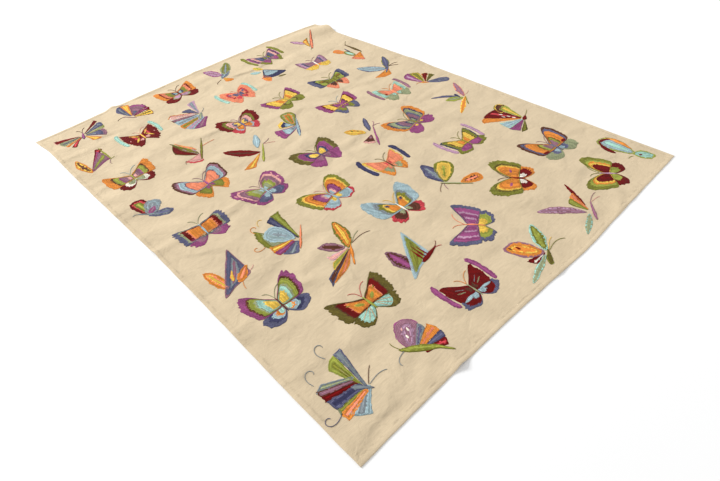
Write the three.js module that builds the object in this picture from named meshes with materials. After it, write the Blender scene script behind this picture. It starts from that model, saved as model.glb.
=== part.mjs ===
import * as THREE from 'three';

// A flat-woven wool rug with a narrow turned hem. It lies on a floor with the creases it was folded in.
// Millimetres, +Z up. U runs along +X from the near corner to the right one, and V along +Y from the
// near corner to the left one. Both are measured on the cloth, from the near corner.

// Cloth
const WIDTH = 2380;
const LENGTH = 3040;
const CLOTH_THICK = 3;
const HEM_THICK = 4.5;
const HEM_WIDTH = 18;
const HEM_SLOPE = 5;

// Spacing of the lines that the surface is made on
const LINE_GAP = 95;
const LINES_PER_SLOPE = 2;
const LEAST_GAP = 12;

// A bowed side still pulls the weave this far inside the cloth
const SIDE_REACH = 500;

// How far each side bows out of the straight line between its corners
const NEAR_SIDE = [
  { along: 0, out: -1 },
  { along: 300, out: -7 },
  { along: 800, out: -8 },
  { along: 1120, out: 2 },
  { along: 1420, out: 13 },
  { along: 1700, out: 4 },
  { along: 2050, out: -6 },
  { along: 2380, out: -15 },
];
const FAR_SIDE = [
  { along: 0, out: 0 },
  { along: 250, out: 8 },
  { along: 500, out: 22 },
  { along: 900, out: 36 },
  { along: 1450, out: 48 },
  { along: 1850, out: 46 },
  { along: 2050, out: 30 },
  { along: 2250, out: 16 },
  { along: 2380, out: -2 },
];
const LEFT_SIDE = [
  { along: 0, out: 5 },
  { along: 350, out: 0 },
  { along: 700, out: -8 },
  { along: 1150, out: -18 },
  { along: 1500, out: -22 },
  { along: 1900, out: -19 },
  { along: 2500, out: -16 },
  { along: 2850, out: -19 },
  { along: 2960, out: -9 },
  { along: 3040, out: -1 },
];
const RIGHT_SIDE = [
  { along: 0, out: -3 },
  { along: 600, out: 2 },
  { along: 1200, out: 6 },
  { along: 1700, out: 13 },
  { along: 1900, out: 18 },
  { along: 2300, out: 10 },
  { along: 2650, out: 1 },
  { along: 2780, out: 0 },
  { along: 2900, out: 14 },
  { along: 3040, out: -2 },
];

// Creases that run along V, each a soft ridge at its distance in U, with its crest height along it
const LONG_CREASES = [
  {
    at: 540,
    half: 62,
    crest: [
      { along: 0, high: 15 },
      { along: 190, high: 9 },
      { along: 620, high: 6 },
      { along: 1100, high: 8 },
      { along: 1482, high: 10 },
      { along: 1950, high: 6 },
      { along: 2500, high: 8 },
      { along: 2860, high: 9 },
      { along: 3040, high: 13 },
    ],
  },
  {
    at: 1215,
    half: 52,
    crest: [
      { along: 0, high: 3 },
      { along: 420, high: 5 },
      { along: 900, high: 4 },
      { along: 1482, high: 8 },
      { along: 2000, high: 5 },
      { along: 2600, high: 6 },
      { along: 3040, high: 4 },
    ],
  },
  {
    at: 1890,
    half: 48,
    crest: [
      { along: 0, high: 2 },
      { along: 500, high: 3 },
      { along: 1000, high: 5 },
      { along: 1482, high: 6 },
      { along: 2100, high: 3 },
      { along: 2700, high: 4 },
      { along: 3040, high: 2 },
    ],
  },
];

// Creases that run along U, at their distance in V
const CROSS_CREASES = [
  {
    at: 790,
    half: 48,
    crest: [
      { along: 0, high: 3 },
      { along: 260, high: 5 },
      { along: 540, high: 4 },
      { along: 820, high: 2 },
      { along: 1100, high: 0 },
      { along: 1700, high: 0 },
      { along: 1900, high: 3 },
      { along: 2380, high: 0 },
    ],
  },
  {
    at: 1482,
    half: 60,
    crest: [
      { along: 0, high: 14 },
      { along: 170, high: 9 },
      { along: 540, high: 8 },
      { along: 900, high: 4 },
      { along: 1215, high: 6 },
      { along: 1600, high: 3 },
      { along: 1900, high: 5 },
      { along: 2380, high: 2 },
    ],
  },
  {
    at: 2290,
    half: 48,
    crest: [
      { along: 0, high: 5 },
      { along: 300, high: 3 },
      { along: 540, high: 4 },
      { along: 900, high: 1 },
      { along: 1300, high: 0 },
      { along: 2380, high: 0 },
    ],
  },
  {
    at: 2670,
    half: 48,
    crest: [
      { along: 0, high: 7 },
      { along: 350, high: 4 },
      { along: 700, high: 0 },
      { along: 2380, high: 0 },
    ],
  },
];

// Soft buckles: a long low swelling each, turned in degrees from U
const BUCKLES = [
  { u: 320, v: 390, long: 340, wide: 90, turn: 32, high: 6 },
  { u: 190, v: 520, long: 300, wide: 85, turn: 28, high: 5 },
  { u: 70, v: 1120, long: 230, wide: 90, turn: 6, high: 4 },
  { u: 60, v: 1850, long: 220, wide: 85, turn: -4, high: 4 },
  { u: 80, v: 2080, long: 260, wide: 80, turn: -3, high: 5 },
  { u: 80, v: 2480, long: 280, wide: 80, turn: 4, high: 5 },
  { u: 2300, v: 1890, long: 260, wide: 120, turn: 8, high: 6 },
  { u: 2330, v: 2885, long: 430, wide: 120, turn: -12, high: 28 },
];

// The value of a table's column at a distance along it, on a smooth curve through its rows
function readTable(table, column, distance) {
  const last = table.length - 1;
  let row = 0;
  while (row < last - 1 && distance > table[row + 1].along) {
    row += 1;
  }
  const slopeAt = (index) => {
    const before = table[Math.max(0, index - 1)];
    const after = table[Math.min(last, index + 1)];
    return (after[column] - before[column]) / (after.along - before.along);
  };
  const start = table[row];
  const end = table[row + 1];
  const span = end.along - start.along;
  const t = THREE.MathUtils.clamp((distance - start.along) / span, 0, 1);
  const rise = t * t * (3 - 2 * t);
  const leave = t * (1 - t) * (1 - t) * span * slopeAt(row);
  const arrive = t * t * (1 - t) * span * slopeAt(row + 1);
  return start[column] + (end[column] - start[column]) * rise + leave - arrive;
}

// Height of one crease at a distance from its line: a soft crest with long feet
function creaseHeight(crease, offset, along) {
  const reach = Math.abs(offset) / crease.half;
  if (reach >= 1) {
    return 0;
  }
  const crest = Math.max(0, readTable(crease.crest, 'high', along));
  return crest * (1 - reach) * (1 - reach) * (1 + reach);
}

// Height of one buckle at a place on the cloth
function buckleHeight(buckle, u, v) {
  const turn = THREE.MathUtils.degToRad(buckle.turn);
  const du = u - buckle.u;
  const dv = v - buckle.v;
  const lengthways = (du * Math.cos(turn) + dv * Math.sin(turn)) / buckle.long;
  const crossways = (dv * Math.cos(turn) - du * Math.sin(turn)) / buckle.wide;
  const reach = Math.min(1, Math.hypot(lengthways, crossways));
  const swell = Math.cos((reach * Math.PI) / 2);
  return buckle.high * swell * swell;
}

// How far the cloth's underside is off the floor
function liftAt(u, v) {
  let lift = 0;
  for (const crease of LONG_CREASES) {
    lift += creaseHeight(crease, u - crease.at, v);
  }
  for (const crease of CROSS_CREASES) {
    lift += creaseHeight(crease, v - crease.at, u);
  }
  for (const buckle of BUCKLES) {
    lift += buckleHeight(buckle, u, v);
  }
  return lift;
}

// The cloth is thicker where its edge is turned under
function thicknessAt(u, v) {
  const inside = Math.min(u, WIDTH - u, v, LENGTH - v);
  const past = THREE.MathUtils.clamp((inside - HEM_WIDTH) / HEM_SLOPE, 0, 1);
  return HEM_THICK + (CLOTH_THICK - HEM_THICK) * past;
}

// Share of a side's bow that is felt at a distance inside the cloth
function pullAt(inside) {
  const left = Math.max(0, 1 - inside / SIDE_REACH);
  return left * left;
}

// Place of a point of the cloth's underside on the floor plan
function planAt(u, v) {
  const left = readTable(LEFT_SIDE, 'out', v) * pullAt(u);
  const right = readTable(RIGHT_SIDE, 'out', v) * pullAt(WIDTH - u);
  const near = readTable(NEAR_SIDE, 'out', u) * pullAt(v);
  const far = readTable(FAR_SIDE, 'out', u) * pullAt(LENGTH - v);
  return { x: u - left + right, y: v - near + far };
}

// Lines across one direction of the cloth: at the hems and creases, and evenly between them
function clothLines(length, creases) {
  const hem = [0, HEM_WIDTH, HEM_WIDTH + HEM_SLOPE];
  const fixed = [...hem, ...hem.map((line) => length - line)];
  for (const crease of creases) {
    for (let step = -LINES_PER_SLOPE; step <= LINES_PER_SLOPE; step += 1) {
      fixed.push(crease.at + (crease.half * step) / LINES_PER_SLOPE);
    }
  }
  fixed.sort((a, b) => a - b);
  const lines = [fixed[0]];
  for (let index = 1; index < fixed.length; index += 1) {
    const start = fixed[index - 1];
    const gap = fixed[index] - start;
    const parts = Math.max(1, Math.round(gap / LINE_GAP));
    if (gap < LEAST_GAP && start > HEM_WIDTH + HEM_SLOPE && fixed[index] < length - HEM_WIDTH - HEM_SLOPE) {
      continue;
    }
    for (let part = 1; part <= parts; part += 1) {
      lines.push(start + (gap * part) / parts);
    }
  }
  return lines;
}

// One closed sheet: an upper face, an underside and the edge that joins them
function sheetGeometry(linesU, linesV) {
  const positions = [];
  const indices = [];
  const countU = linesU.length;
  const countV = linesV.length;
  const layer = countU * countV;
  for (const isUpper of [false, true]) {
    for (const v of linesV) {
      for (const u of linesU) {
        const { x, y } = planAt(u, v);
        positions.push(x, y, liftAt(u, v) + (isUpper ? thicknessAt(u, v) : 0));
      }
    }
  }
  const under = (column, row) => row * countU + column;
  const upper = (column, row) => layer + under(column, row);
  const addFace = (a, b, c, d) => indices.push(a, b, c, a, c, d);
  for (let row = 0; row < countV - 1; row += 1) {
    for (let column = 0; column < countU - 1; column += 1) {
      const ahead = column + 1;
      const above = row + 1;
      addFace(upper(column, row), upper(ahead, row), upper(ahead, above), upper(column, above));
      addFace(under(column, row), under(column, above), under(ahead, above), under(ahead, row));
    }
  }
  const lastU = countU - 1;
  const lastV = countV - 1;
  for (let column = 0; column < lastU; column += 1) {
    addFace(under(column, 0), under(column + 1, 0), upper(column + 1, 0), upper(column, 0));
    addFace(under(column + 1, lastV), under(column, lastV), upper(column, lastV), upper(column + 1, lastV));
  }
  for (let row = 0; row < lastV; row += 1) {
    addFace(under(lastU, row), under(lastU, row + 1), upper(lastU, row + 1), upper(lastU, row));
    addFace(under(0, row + 1), under(0, row), upper(0, row), upper(0, row + 1));
  }
  const geometry = new THREE.BufferGeometry();
  geometry.setAttribute('position', new THREE.Float32BufferAttribute(positions, 3));
  geometry.setIndex(indices);
  geometry.computeVertexNormals();
  return geometry;
}

// The rug lies with the middle of its box at the origin
function centreOnFloor(geometry) {
  geometry.computeBoundingBox();
  const middle = geometry.boundingBox.getCenter(new THREE.Vector3());
  geometry.translate(-middle.x, -middle.y, 0);
}

const clothGeometry = sheetGeometry(
  clothLines(WIDTH, LONG_CREASES),
  clothLines(LENGTH, CROSS_CREASES),
);
centreOnFloor(clothGeometry);

const creamWool = new THREE.MeshStandardMaterial({ color: '#dccbac', roughness: 0.95, metalness: 0 });
const cloth = new THREE.Mesh(clothGeometry, creamWool);
cloth.name = 'rug_cloth';

const rug = new THREE.Group();
rug.add(cloth);

export default rug;
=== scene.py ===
"""A flat-woven wool rug, embroidered all over with butterflies in chain stitch, laid out on a pale floor.

The cloth repeats the shape of the frame's node, in metres, and the embroidery is sewn on it as raised yarn.
U runs along +X from the near corner to the right one, and V along +Y from the near corner to the left one.
"""

import logging  # noqa: E402
import math  # noqa: E402
import random  # noqa: E402
from dataclasses import dataclass, field  # noqa: E402
from enum import Enum  # noqa: E402

import bpy  # noqa: E402
from mathutils import Euler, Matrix, Vector, noise  # noqa: E402


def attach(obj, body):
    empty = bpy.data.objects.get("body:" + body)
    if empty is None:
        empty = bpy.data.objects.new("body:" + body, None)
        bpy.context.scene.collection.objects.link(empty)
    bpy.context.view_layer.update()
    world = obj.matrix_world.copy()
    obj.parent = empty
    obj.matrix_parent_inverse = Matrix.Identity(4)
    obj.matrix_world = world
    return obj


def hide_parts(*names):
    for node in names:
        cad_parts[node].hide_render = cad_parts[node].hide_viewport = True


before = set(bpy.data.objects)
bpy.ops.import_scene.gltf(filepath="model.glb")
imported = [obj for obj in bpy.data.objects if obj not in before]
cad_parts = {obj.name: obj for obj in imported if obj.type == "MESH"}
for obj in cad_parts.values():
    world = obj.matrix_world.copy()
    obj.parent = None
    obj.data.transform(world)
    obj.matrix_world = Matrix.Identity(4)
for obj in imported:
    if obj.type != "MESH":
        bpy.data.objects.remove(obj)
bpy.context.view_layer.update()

logging.basicConfig(level=logging.INFO, format="%(message)s")
LOG = logging.getLogger("rug")

MM = 0.001
CLOTH_NODE = "rug_cloth"
BODY = "root"

Point = tuple[float, float]
Place = tuple[float, float, float]
Face = tuple[int, ...]
Span = tuple[float, float]
Table = tuple[Point, ...]
Socket = bpy.types.NodeSocket

# The curve between a screen's values and linear light

SCREEN_TOP = 255
TOE_END = 0.04045
TOE_SLOPE = 12.92
CURVE_SHIFT = 0.055
CURVE_POWER = 2.4


def linear(channel: int) -> float:
    """Turn one 0 to 255 screen value into the linear value that a shader takes."""
    share = channel / SCREEN_TOP
    curve = ((share + CURVE_SHIFT) / (1 + CURVE_SHIFT)) ** CURVE_POWER
    return share / TOE_SLOPE if share <= TOE_END else curve


# Tables, turns and places


def slope_at(table: Table, row: int) -> float:
    """Give the slope of a table's smooth curve at one of its rows."""
    before, after = table[max(0, row - 1)], table[min(len(table) - 1, row + 1)]
    return (after[1] - before[1]) / (after[0] - before[0])


def read_table(table: Table, distance: float) -> float:
    """Read a table of (distance, value) rows on a smooth curve through them.

    Args:
        table: the rows, by growing distance.
        distance: where to read.

    Returns:
        The value there.
    """
    row = 0
    while row < len(table) - 2 and distance > table[row + 1][0]:
        row += 1
    start, end = table[row], table[row + 1]
    span = end[0] - start[0]
    t = min(1.0, max(0.0, (distance - start[0]) / span))
    rise = t * t * (3 - 2 * t)
    leave = t * (1 - t) * (1 - t) * span * slope_at(table, row)
    arrive = t * t * (1 - t) * span * slope_at(table, row + 1)
    return start[1] + (end[1] - start[1]) * rise + leave - arrive


def turned(point: Point, angle: float) -> Point:
    """Turn a point about the origin by an angle in radians."""
    x, y = point
    return x * math.cos(angle) - y * math.sin(angle), x * math.sin(angle) + y * math.cos(angle)


def between(start: Point, end: Point, share: float) -> Point:
    """Give the place at a share of the way from one place to another."""
    return start[0] + (end[0] - start[0]) * share, start[1] + (end[1] - start[1]) * share


def new_object(
    name: str, points: list[Place], faces: list[Face], maps: dict[str, list[Point]]
) -> bpy.types.Object:
    """Make a smooth mesh and link it into the scene as an object at the origin.

    Args:
        name: the name of the mesh and the object.
        points: its points in metres.
        faces: the numbers of each face's points.
        maps: the places of all the faces' corners on each map, by the map's name.

    Returns:
        The object.
    """
    mesh = bpy.data.meshes.new(name)
    mesh.from_pydata(points, [], faces)
    for title, places in maps.items():
        layer = mesh.uv_layers.new(name=title)
        layer.data.foreach_set("uv", [number for place in places for number in place])
    mesh.shade_smooth()
    mesh.update()
    made = bpy.data.objects.new(name, mesh)
    bpy.context.scene.collection.objects.link(made)
    return made


# The cloth


@dataclass(frozen=True)
class Crease:
    """A fold line that shows as a soft ridge, in millimetres: its place, half width and crest along it."""

    at: float
    half: float
    crest: Table

    def height(self, offset: float, along: float) -> float:
        """Give the ridge's height at an offset from the line and a distance along it."""
        reach = abs(offset) / self.half
        return max(0.0, read_table(self.crest, along)) * (1 - reach) ** 2 * (1 + reach) if reach < 1 else 0.0


@dataclass(frozen=True)
class Buckle:
    """A long low swelling, in millimetres, and degrees from U."""

    u: float
    v: float
    long: float
    wide: float
    turn: float
    high: float

    def height(self, u: float, v: float) -> float:
        """Give the swelling's height at a place on the cloth."""
        along, across = turned((u - self.u, v - self.v), -math.radians(self.turn))
        reach = min(1.0, math.hypot(along / self.long, across / self.wide))
        return self.high * math.cos(reach * math.pi / 2) ** 2


NEAR_SIDE: Table = ((0, -1), (300, -7), (800, -8), (1120, 2), (1420, 13), (1700, 4), (2050, -6), (2380, -15))
FAR_SIDE: Table = (
    (0, 0), (250, 8), (500, 22), (900, 36), (1450, 48), (1850, 46), (2050, 30), (2250, 16), (2380, -2),
)
LEFT_SIDE: Table = (
    (0, 5), (350, 0), (700, -8), (1150, -18), (1500, -22), (1900, -19), (2500, -16), (2850, -19), (2960, -9),
    (3040, -1),
)
RIGHT_SIDE: Table = (
    (0, -3), (600, 2), (1200, 6), (1700, 13), (1900, 18), (2300, 10), (2650, 1), (2780, 0), (2900, 14),
    (3040, -2),
)

LONG_CREASES = (
    Crease(540, 62, (
        (0, 15), (190, 9), (620, 6), (1100, 8), (1482, 10), (1950, 6), (2500, 8), (2860, 9), (3040, 13),
    )),
    Crease(1215, 52, ((0, 3), (420, 5), (900, 4), (1482, 8), (2000, 5), (2600, 6), (3040, 4))),
    Crease(1890, 48, ((0, 2), (500, 3), (1000, 5), (1482, 6), (2100, 3), (2700, 4), (3040, 2))),
)
CROSS_CREASES = (
    Crease(790, 48, ((0, 3), (260, 5), (540, 4), (820, 2), (1100, 0), (1700, 0), (1900, 3), (2380, 0))),
    Crease(1482, 60, ((0, 14), (170, 9), (540, 8), (900, 4), (1215, 6), (1600, 3), (1900, 5), (2380, 2))),
    Crease(2290, 48, ((0, 5), (300, 3), (540, 4), (900, 1), (1300, 0), (2380, 0))),
    Crease(2670, 48, ((0, 7), (350, 4), (700, 0), (2380, 0))),
)
BUCKLES = (
    Buckle(320, 390, 340, 90, 32, 6),
    Buckle(190, 520, 300, 85, 28, 5),
    Buckle(70, 1120, 230, 90, 6, 4),
    Buckle(60, 1850, 220, 85, -4, 4),
    Buckle(80, 2080, 260, 80, -3, 5),
    Buckle(80, 2480, 280, 80, 4, 5),
    Buckle(2300, 1890, 260, 120, 8, 6),
    Buckle(2330, 2885, 430, 120, -12, 28),
)


@dataclass
class Cloth:
    """The flat-woven ground with its turned hem, in millimetres on the cloth and metres in the scene."""

    width: float = 2380
    length: float = 3040
    thick: float = 3
    hem_thick: float = 4.5
    hem_width: float = 18
    hem_slope: float = 5
    hem_lines: tuple[float, ...] = (0.0, 0.12, 0.5, 1.0)
    side_reach: float = 500
    step: float = 14
    edge_round: float = 1.2
    edge_out: float = 0.6
    ripple: float = 0.9
    ripple_size: float = 190
    ripple_slice: float = 3.7
    wander: float = 1.6
    wander_size: float = 90
    wander_slices: Span = (11.3, 23.9)
    grid_step: float = 10
    box_steps: int = 60
    bake_margin: float = 0.01
    shift: Vector = field(default_factory=lambda: Vector((0, 0)))
    grid: list[list[float]] = field(default_factory=list)

    def __post_init__(self) -> None:
        """Find the middle of the rug's box, and work out the heights once on a fine grid."""
        steps, grid_step = self.box_steps, self.grid_step
        ends_u = [self.width * i / steps for i in range(steps + 1)]
        ends_v = [self.length * i / steps for i in range(steps + 1)]
        xs = [self.plan(u, v)[0] for v in ends_v for u in (0, self.width)]
        ys = [self.plan(u, v)[1] for u in ends_u for v in (0, self.length)]
        self.shift = Vector(((min(xs) + max(xs)) / 2, (min(ys) + max(ys)) / 2))
        columns, rows = (math.ceil(side / grid_step) + 2 for side in (self.width, self.length))
        self.grid = [[self.lift(i * grid_step, j * grid_step) for i in range(columns)] for j in range(rows)]

    def pull(self, inside: float) -> float:
        """Give the share of a side's bow that is felt at a distance inside the cloth."""
        return max(0.0, 1 - inside / self.side_reach) ** 2

    def plan(self, u: float, v: float) -> Point:
        """Place a point of the cloth on the floor plan.

        Args:
            u: millimetres along the short side.
            v: millimetres along the long side.

        Returns:
            The place, in millimetres from the near corner.
        """
        left = read_table(LEFT_SIDE, v) * self.pull(u)
        right = read_table(RIGHT_SIDE, v) * self.pull(self.width - u)
        near = read_table(NEAR_SIDE, u) * self.pull(v)
        far = read_table(FAR_SIDE, u) * self.pull(self.length - v)
        return u - left + right, v - near + far

    def lift(self, u: float, v: float) -> float:
        """Work out how far the underside is off the floor: creases, buckles and a slight unevenness.

        Args:
            u: millimetres along the short side.
            v: millimetres along the long side.

        Returns:
            The height in millimetres.
        """
        lift = sum(crease.height(u - crease.at, v) for crease in LONG_CREASES)
        lift += sum(crease.height(v - crease.at, u) for crease in CROSS_CREASES)
        lift += sum(buckle.height(u, v) for buckle in BUCKLES)
        spot = Vector((u / self.ripple_size, v / self.ripple_size, self.ripple_slice))
        return lift + self.ripple * (1 + noise.noise(spot))

    def rise(self, u: float, v: float) -> float:
        """Read the lift from the grid, between its four nearest heights.

        Args:
            u: millimetres along the short side.
            v: millimetres along the long side.

        Returns:
            The height in millimetres.
        """
        column = min(max(u, 0), self.width) / self.grid_step
        row = min(max(v, 0), self.length) / self.grid_step
        i, j = int(column), int(row)
        across, along = column - i, row - j
        low = self.grid[j][i] * (1 - across) + self.grid[j][i + 1] * across
        high = self.grid[j + 1][i] * (1 - across) + self.grid[j + 1][i + 1] * across
        return low * (1 - along) + high * along

    def inside(self, u: float, v: float) -> float:
        """Give how far a point is inside the cloth's nearest side."""
        return min(u, self.width - u, v, self.length - v)

    def thickness(self, u: float, v: float) -> float:
        """Give the cloth's thickness, which is more where its edge is turned under."""
        past = min(1.0, max(0.0, (self.inside(u, v) - self.hem_width) / self.hem_slope))
        return self.hem_thick + (self.thick - self.hem_thick) * past

    def place(self, u: float, v: float, above: float) -> Place:
        """Place a point in the scene.

        Args:
            u: millimetres along the short side.
            v: millimetres along the long side.
            above: height over the cloth's upper face, in millimetres.

        Returns:
            The place in metres.
        """
        x, y = self.plan(u, v)
        z = self.rise(u, v) + self.thickness(u, v) + above
        return (x - self.shift.x) * MM, (y - self.shift.y) * MM, z * MM

    def lines(self, length: float) -> list[float]:
        """Set the grid's lines across one direction: close at the hems, even between them.

        Args:
            length: the cloth's size that way, in millimetres.

        Returns:
            Where the lines run.
        """
        inner = self.hem_width + self.hem_slope
        count = round((length - 2 * inner) / self.step)
        even = [inner + (length - 2 * inner) * i / count for i in range(count + 1)]
        hem = [self.hem_width * share for share in self.hem_lines]
        return hem + even + [length - line for line in reversed(hem)]

    def build(self) -> bpy.types.Object:
        """Make the closed sheet: two faces of one grid, joined by a rounded rim.

        Returns:
            The cloth's object, with a map of the weave in metres and one for baking.
        """
        lines_u, lines_v = self.lines(self.width), self.lines(self.length)
        count_u, count_v = len(lines_u), len(lines_v)
        grid = [(u, v) for v in lines_v for u in lines_u]
        points = [self.sheet_point(u, v, is_upper) for is_upper in (False, True) for u, v in grid]
        layer, middle = len(grid), len(points)
        rim = [*range(count_u), *(row * count_u + count_u - 1 for row in range(1, count_v))]
        rim += [(count_v - 1) * count_u + column for column in range(count_u - 2, -1, -1)]
        rim += [row * count_u for row in range(count_v - 2, 0, -1)]
        points += [self.rim_point(grid[index], points[index], points[index + layer]) for index in rim]
        faces: list[Face] = []
        for row in range(count_v - 1):
            for a in range(row * count_u, row * count_u + count_u - 1):
                b, c, d = a + 1, a + 1 + count_u, a + count_u
                faces += [(a + layer, b + layer, c + layer, d + layer), (a, d, c, b)]
        for k, a in enumerate(rim):
            after = (k + 1) % len(rim)
            b, m, n = rim[after], middle + k, middle + after
            faces += [(a, b, n, m), (m, n, b + layer, a + layer)]
        weave = grid * 2 + [grid[index] for index in rim]
        corners = [weave[index] for face in faces for index in face]
        metres, bake = [(u * MM, v * MM) for u, v in corners], [self.bake_place(u, v) for u, v in corners]
        return new_object("ground", points, faces, {"weave": metres, "OFBake": bake})

    def bake_place(self, u: float, v: float) -> Point:
        """Give a point's place on the map for baking, a little inside its borders."""
        span = 1 - 2 * self.bake_margin
        return self.bake_margin + span * u / self.width, self.bake_margin + span * v / self.length

    def sheet_point(self, u: float, v: float, is_upper: bool) -> Place:
        """Place a point of the sheet, with the hand-turned edge's slight wander.

        Args:
            u: millimetres along the short side.
            v: millimetres along the long side.
            is_upper: whether it is on the upper face rather than the underside.

        Returns:
            The place in metres.
        """
        edge = self.inside(u, v)
        fade = max(0.0, 1 - edge / self.side_reach)
        x, y, z = self.place(u, v, 0.0)
        size = self.wander_size
        aside = [noise.noise(Vector((u / size, v / size, level))) for level in self.wander_slices]
        x += self.wander * fade * aside[0] * MM
        y += self.wander * fade * aside[1] * MM
        if not is_upper:
            return x, y, max(0.0, z - self.thickness(u, v) * MM)
        return x, y, z - (self.edge_round * MM if edge == 0 else 0.0)

    def rim_point(self, grid: Point, low: Place, high: Place) -> Place:
        """Place the outermost point of the turned edge, a little outside the two faces' ends.

        Args:
            grid: where on the cloth it is, in millimetres.
            low: the end of the underside in metres.
            high: the end of the upper face in metres.

        Returns:
            The place in metres.
        """
        sides = ((grid[0], self.width), (grid[1], self.length))
        out = [(int(at >= side) - int(at <= 0)) * self.edge_round * MM * self.edge_out for at, side in sides]
        return (low[0] + high[0]) / 2 + out[0], (low[1] + high[1]) / 2 + out[1], (low[2] + high[2]) / 2


# Shader node groups

WHOLE: Span = (0.0, 1.0)
CLOUDS: Span = (0.3, 0.7)


@dataclass(frozen=True)
class Cloud:
    """The settings of one noise pattern."""

    scale: float
    detail: float
    rough: float = 0.5
    twist: float = 0.0
    kind: str = "2D"


class Graph:
    """Short calls to add and join the nodes of one tree."""

    def __init__(self, tree: bpy.types.NodeTree) -> None:
        """Keep the tree."""
        self.tree = tree

    def add(self, kind: str, settings: dict[str, object] | None = None, **inputs: object) -> bpy.types.Node:
        """Add a node.

        Args:
            kind: the node's type.
            settings: its own properties.
            inputs: values or sockets for its inputs, by name with _ for a space, or by in0, in1.

        Returns:
            The node.
        """
        node = self.tree.nodes.new(kind)
        for name, value in (settings or {}).items():
            setattr(node, name, value)
        for name, value in inputs.items():
            is_numbered = name.startswith("in") and name[2:].isdigit()
            socket = node.inputs[int(name[2:])] if is_numbered else node.inputs[name.replace("_", " ")]
            if isinstance(value, Socket):
                self.tree.links.new(value, socket)
            else:
                socket.default_value = value
        return node

    def send(self, value: Socket, node: bpy.types.Node, name: str) -> None:
        """Join a value to a node's input, by the input's name."""
        self.tree.links.new(value, node.inputs[name])

    def math(self, operation: str, first: object, second: object = 0.0) -> Socket:
        """Add a Math node and give its output."""
        return self.add("ShaderNodeMath", {"operation": operation}, in0=first, in1=second).outputs[0]

    def product(self, first: Socket, *others: Socket) -> Socket:
        """Multiply values with one another, in order, and give the last output."""
        for other in others:
            first = self.math("MULTIPLY", first, other)
        return first

    def spread(self, value: Socket, taken: Span, given: Span) -> Socket:
        """Add a Map Range node, from one span of values to another, and give its output."""
        spans = {"From_Min": taken[0], "From_Max": taken[1], "To_Min": given[0], "To_Max": given[1]}
        return self.add("ShaderNodeMapRange", None, Value=value, **spans).outputs[0]

    def noise(self, place: Socket, cloud: Cloud) -> Socket:
        """Add a Noise Texture node and give its value."""
        node = self.add(
            "ShaderNodeTexNoise", {"noise_dimensions": cloud.kind}, Vector=place,
            Scale=cloud.scale, Detail=cloud.detail, Roughness=cloud.rough, Distortion=cloud.twist,
        )
        return node.outputs["Fac"]

    def stretch(self, place: Socket, scale: Place, turn: float = 0.0) -> Socket:
        """Add a Mapping node that turns and scales a map, and give its output."""
        node = self.add("ShaderNodeMapping", None, Vector=place, Rotation=(0.0, 0.0, turn), Scale=scale)
        return node.outputs[0]

    def bump(self, height: Socket, size: Span, **normal: Socket) -> Socket:
        """Add a Bump node of a strength and a distance in metres, and give its output."""
        node = self.add("ShaderNodeBump", None, Height=height, Strength=size[0], Distance=size[1], **normal)
        return node.outputs[0]


def new_group(
    name: str, inputs: dict[str, str], outputs: tuple[str, ...]
) -> tuple[Graph, dict[str, Socket], bpy.types.Node]:
    """Start a shader node group with named sockets.

    Args:
        name: the group's name.
        inputs: Vector or Float by the input's name.
        outputs: the names of the outputs, which are all values.

    Returns:
        The graph, the inner sockets of the inputs by name, and the output node.
    """
    tree = bpy.data.node_groups.new(name, "ShaderNodeTree")
    for socket, kind in inputs.items():
        tree.interface.new_socket(socket, in_out="INPUT", socket_type=f"NodeSocket{kind}")
    for socket in outputs:
        tree.interface.new_socket(socket, in_out="OUTPUT", socket_type="NodeSocketFloat")
    entry = tree.nodes.new("NodeGroupInput")
    leave = tree.nodes.new("NodeGroupOutput")
    return Graph(tree), {socket: entry.outputs[socket] for socket in inputs}, leave


@dataclass(frozen=True)
class ChainStitch:
    """Loops of yarn along each sewn row, in shares of a row's half width and a stitch's length."""

    neck: float = 0.12
    bulge: float = 0.42
    strand: Span = (0.0, 0.5)
    knot: Span = (0.35, 1.0)
    knot_reach: Span = (0.0, 0.5)
    # Where across a row the furrow mask rises, for the shade painted between rows.
    furrow: Span = (0.55, 1.0)

    def group(self) -> bpy.types.NodeTree:
        """Make the chain-stitch group.

        Returns:
            A group that takes a map with metres along X and rows along Y, and puts out the yarn's height, a
            mask of the furrow between rows for painting shade there, and values that differ from stitch to
            stitch and row to row.
        """
        outputs = ("Height", "Furrow", "Stitch Value", "Row Value")
        graph, given, leave = new_group("chain_stitch", {"Rows": "Vector", "Stitch": "Float"}, outputs)
        apart = graph.add("ShaderNodeSeparateXYZ", None, Vector=given["Rows"])
        row = graph.math("FLOOR", apart.outputs[1])
        middle = graph.math("SUBTRACT", graph.math("FRACT", apart.outputs[1]), 0.5)
        across = graph.math("MULTIPLY", graph.math("ABSOLUTE", middle), 2.0)
        start = graph.add("ShaderNodeTexWhiteNoise", {"noise_dimensions": "1D"}, W=row).outputs[0]
        graph.send(start, leave, "Row Value")
        along = graph.math("ADD", graph.math("DIVIDE", apart.outputs[0], given["Stitch"]), start)
        bulge = graph.math("SINE", graph.math("MULTIPLY", graph.math("FRACT", along), math.pi))
        strand = graph.math("ADD", graph.math("MULTIPLY", bulge, self.bulge), self.neck)
        away = graph.math("ABSOLUTE", graph.math("SUBTRACT", across, strand))
        yarn = graph.spread(away, self.strand, (1.0, 0.0))
        knot = graph.spread(bulge, self.knot_reach, self.knot)
        graph.send(graph.product(yarn, knot), leave, "Height")
        # The furrow mask, which the yarn's material uses to paint shade between the rows.
        graph.send(graph.spread(across, self.furrow, WHOLE), leave, "Furrow")
        cell = graph.add("ShaderNodeCombineXYZ", None, X=graph.math("FLOOR", along), Y=row)
        chance = graph.add("ShaderNodeTexWhiteNoise", {"noise_dimensions": "2D"}, Vector=cell.outputs[0])
        graph.send(chance.outputs[0], leave, "Stitch Value")
        return graph.tree


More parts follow.
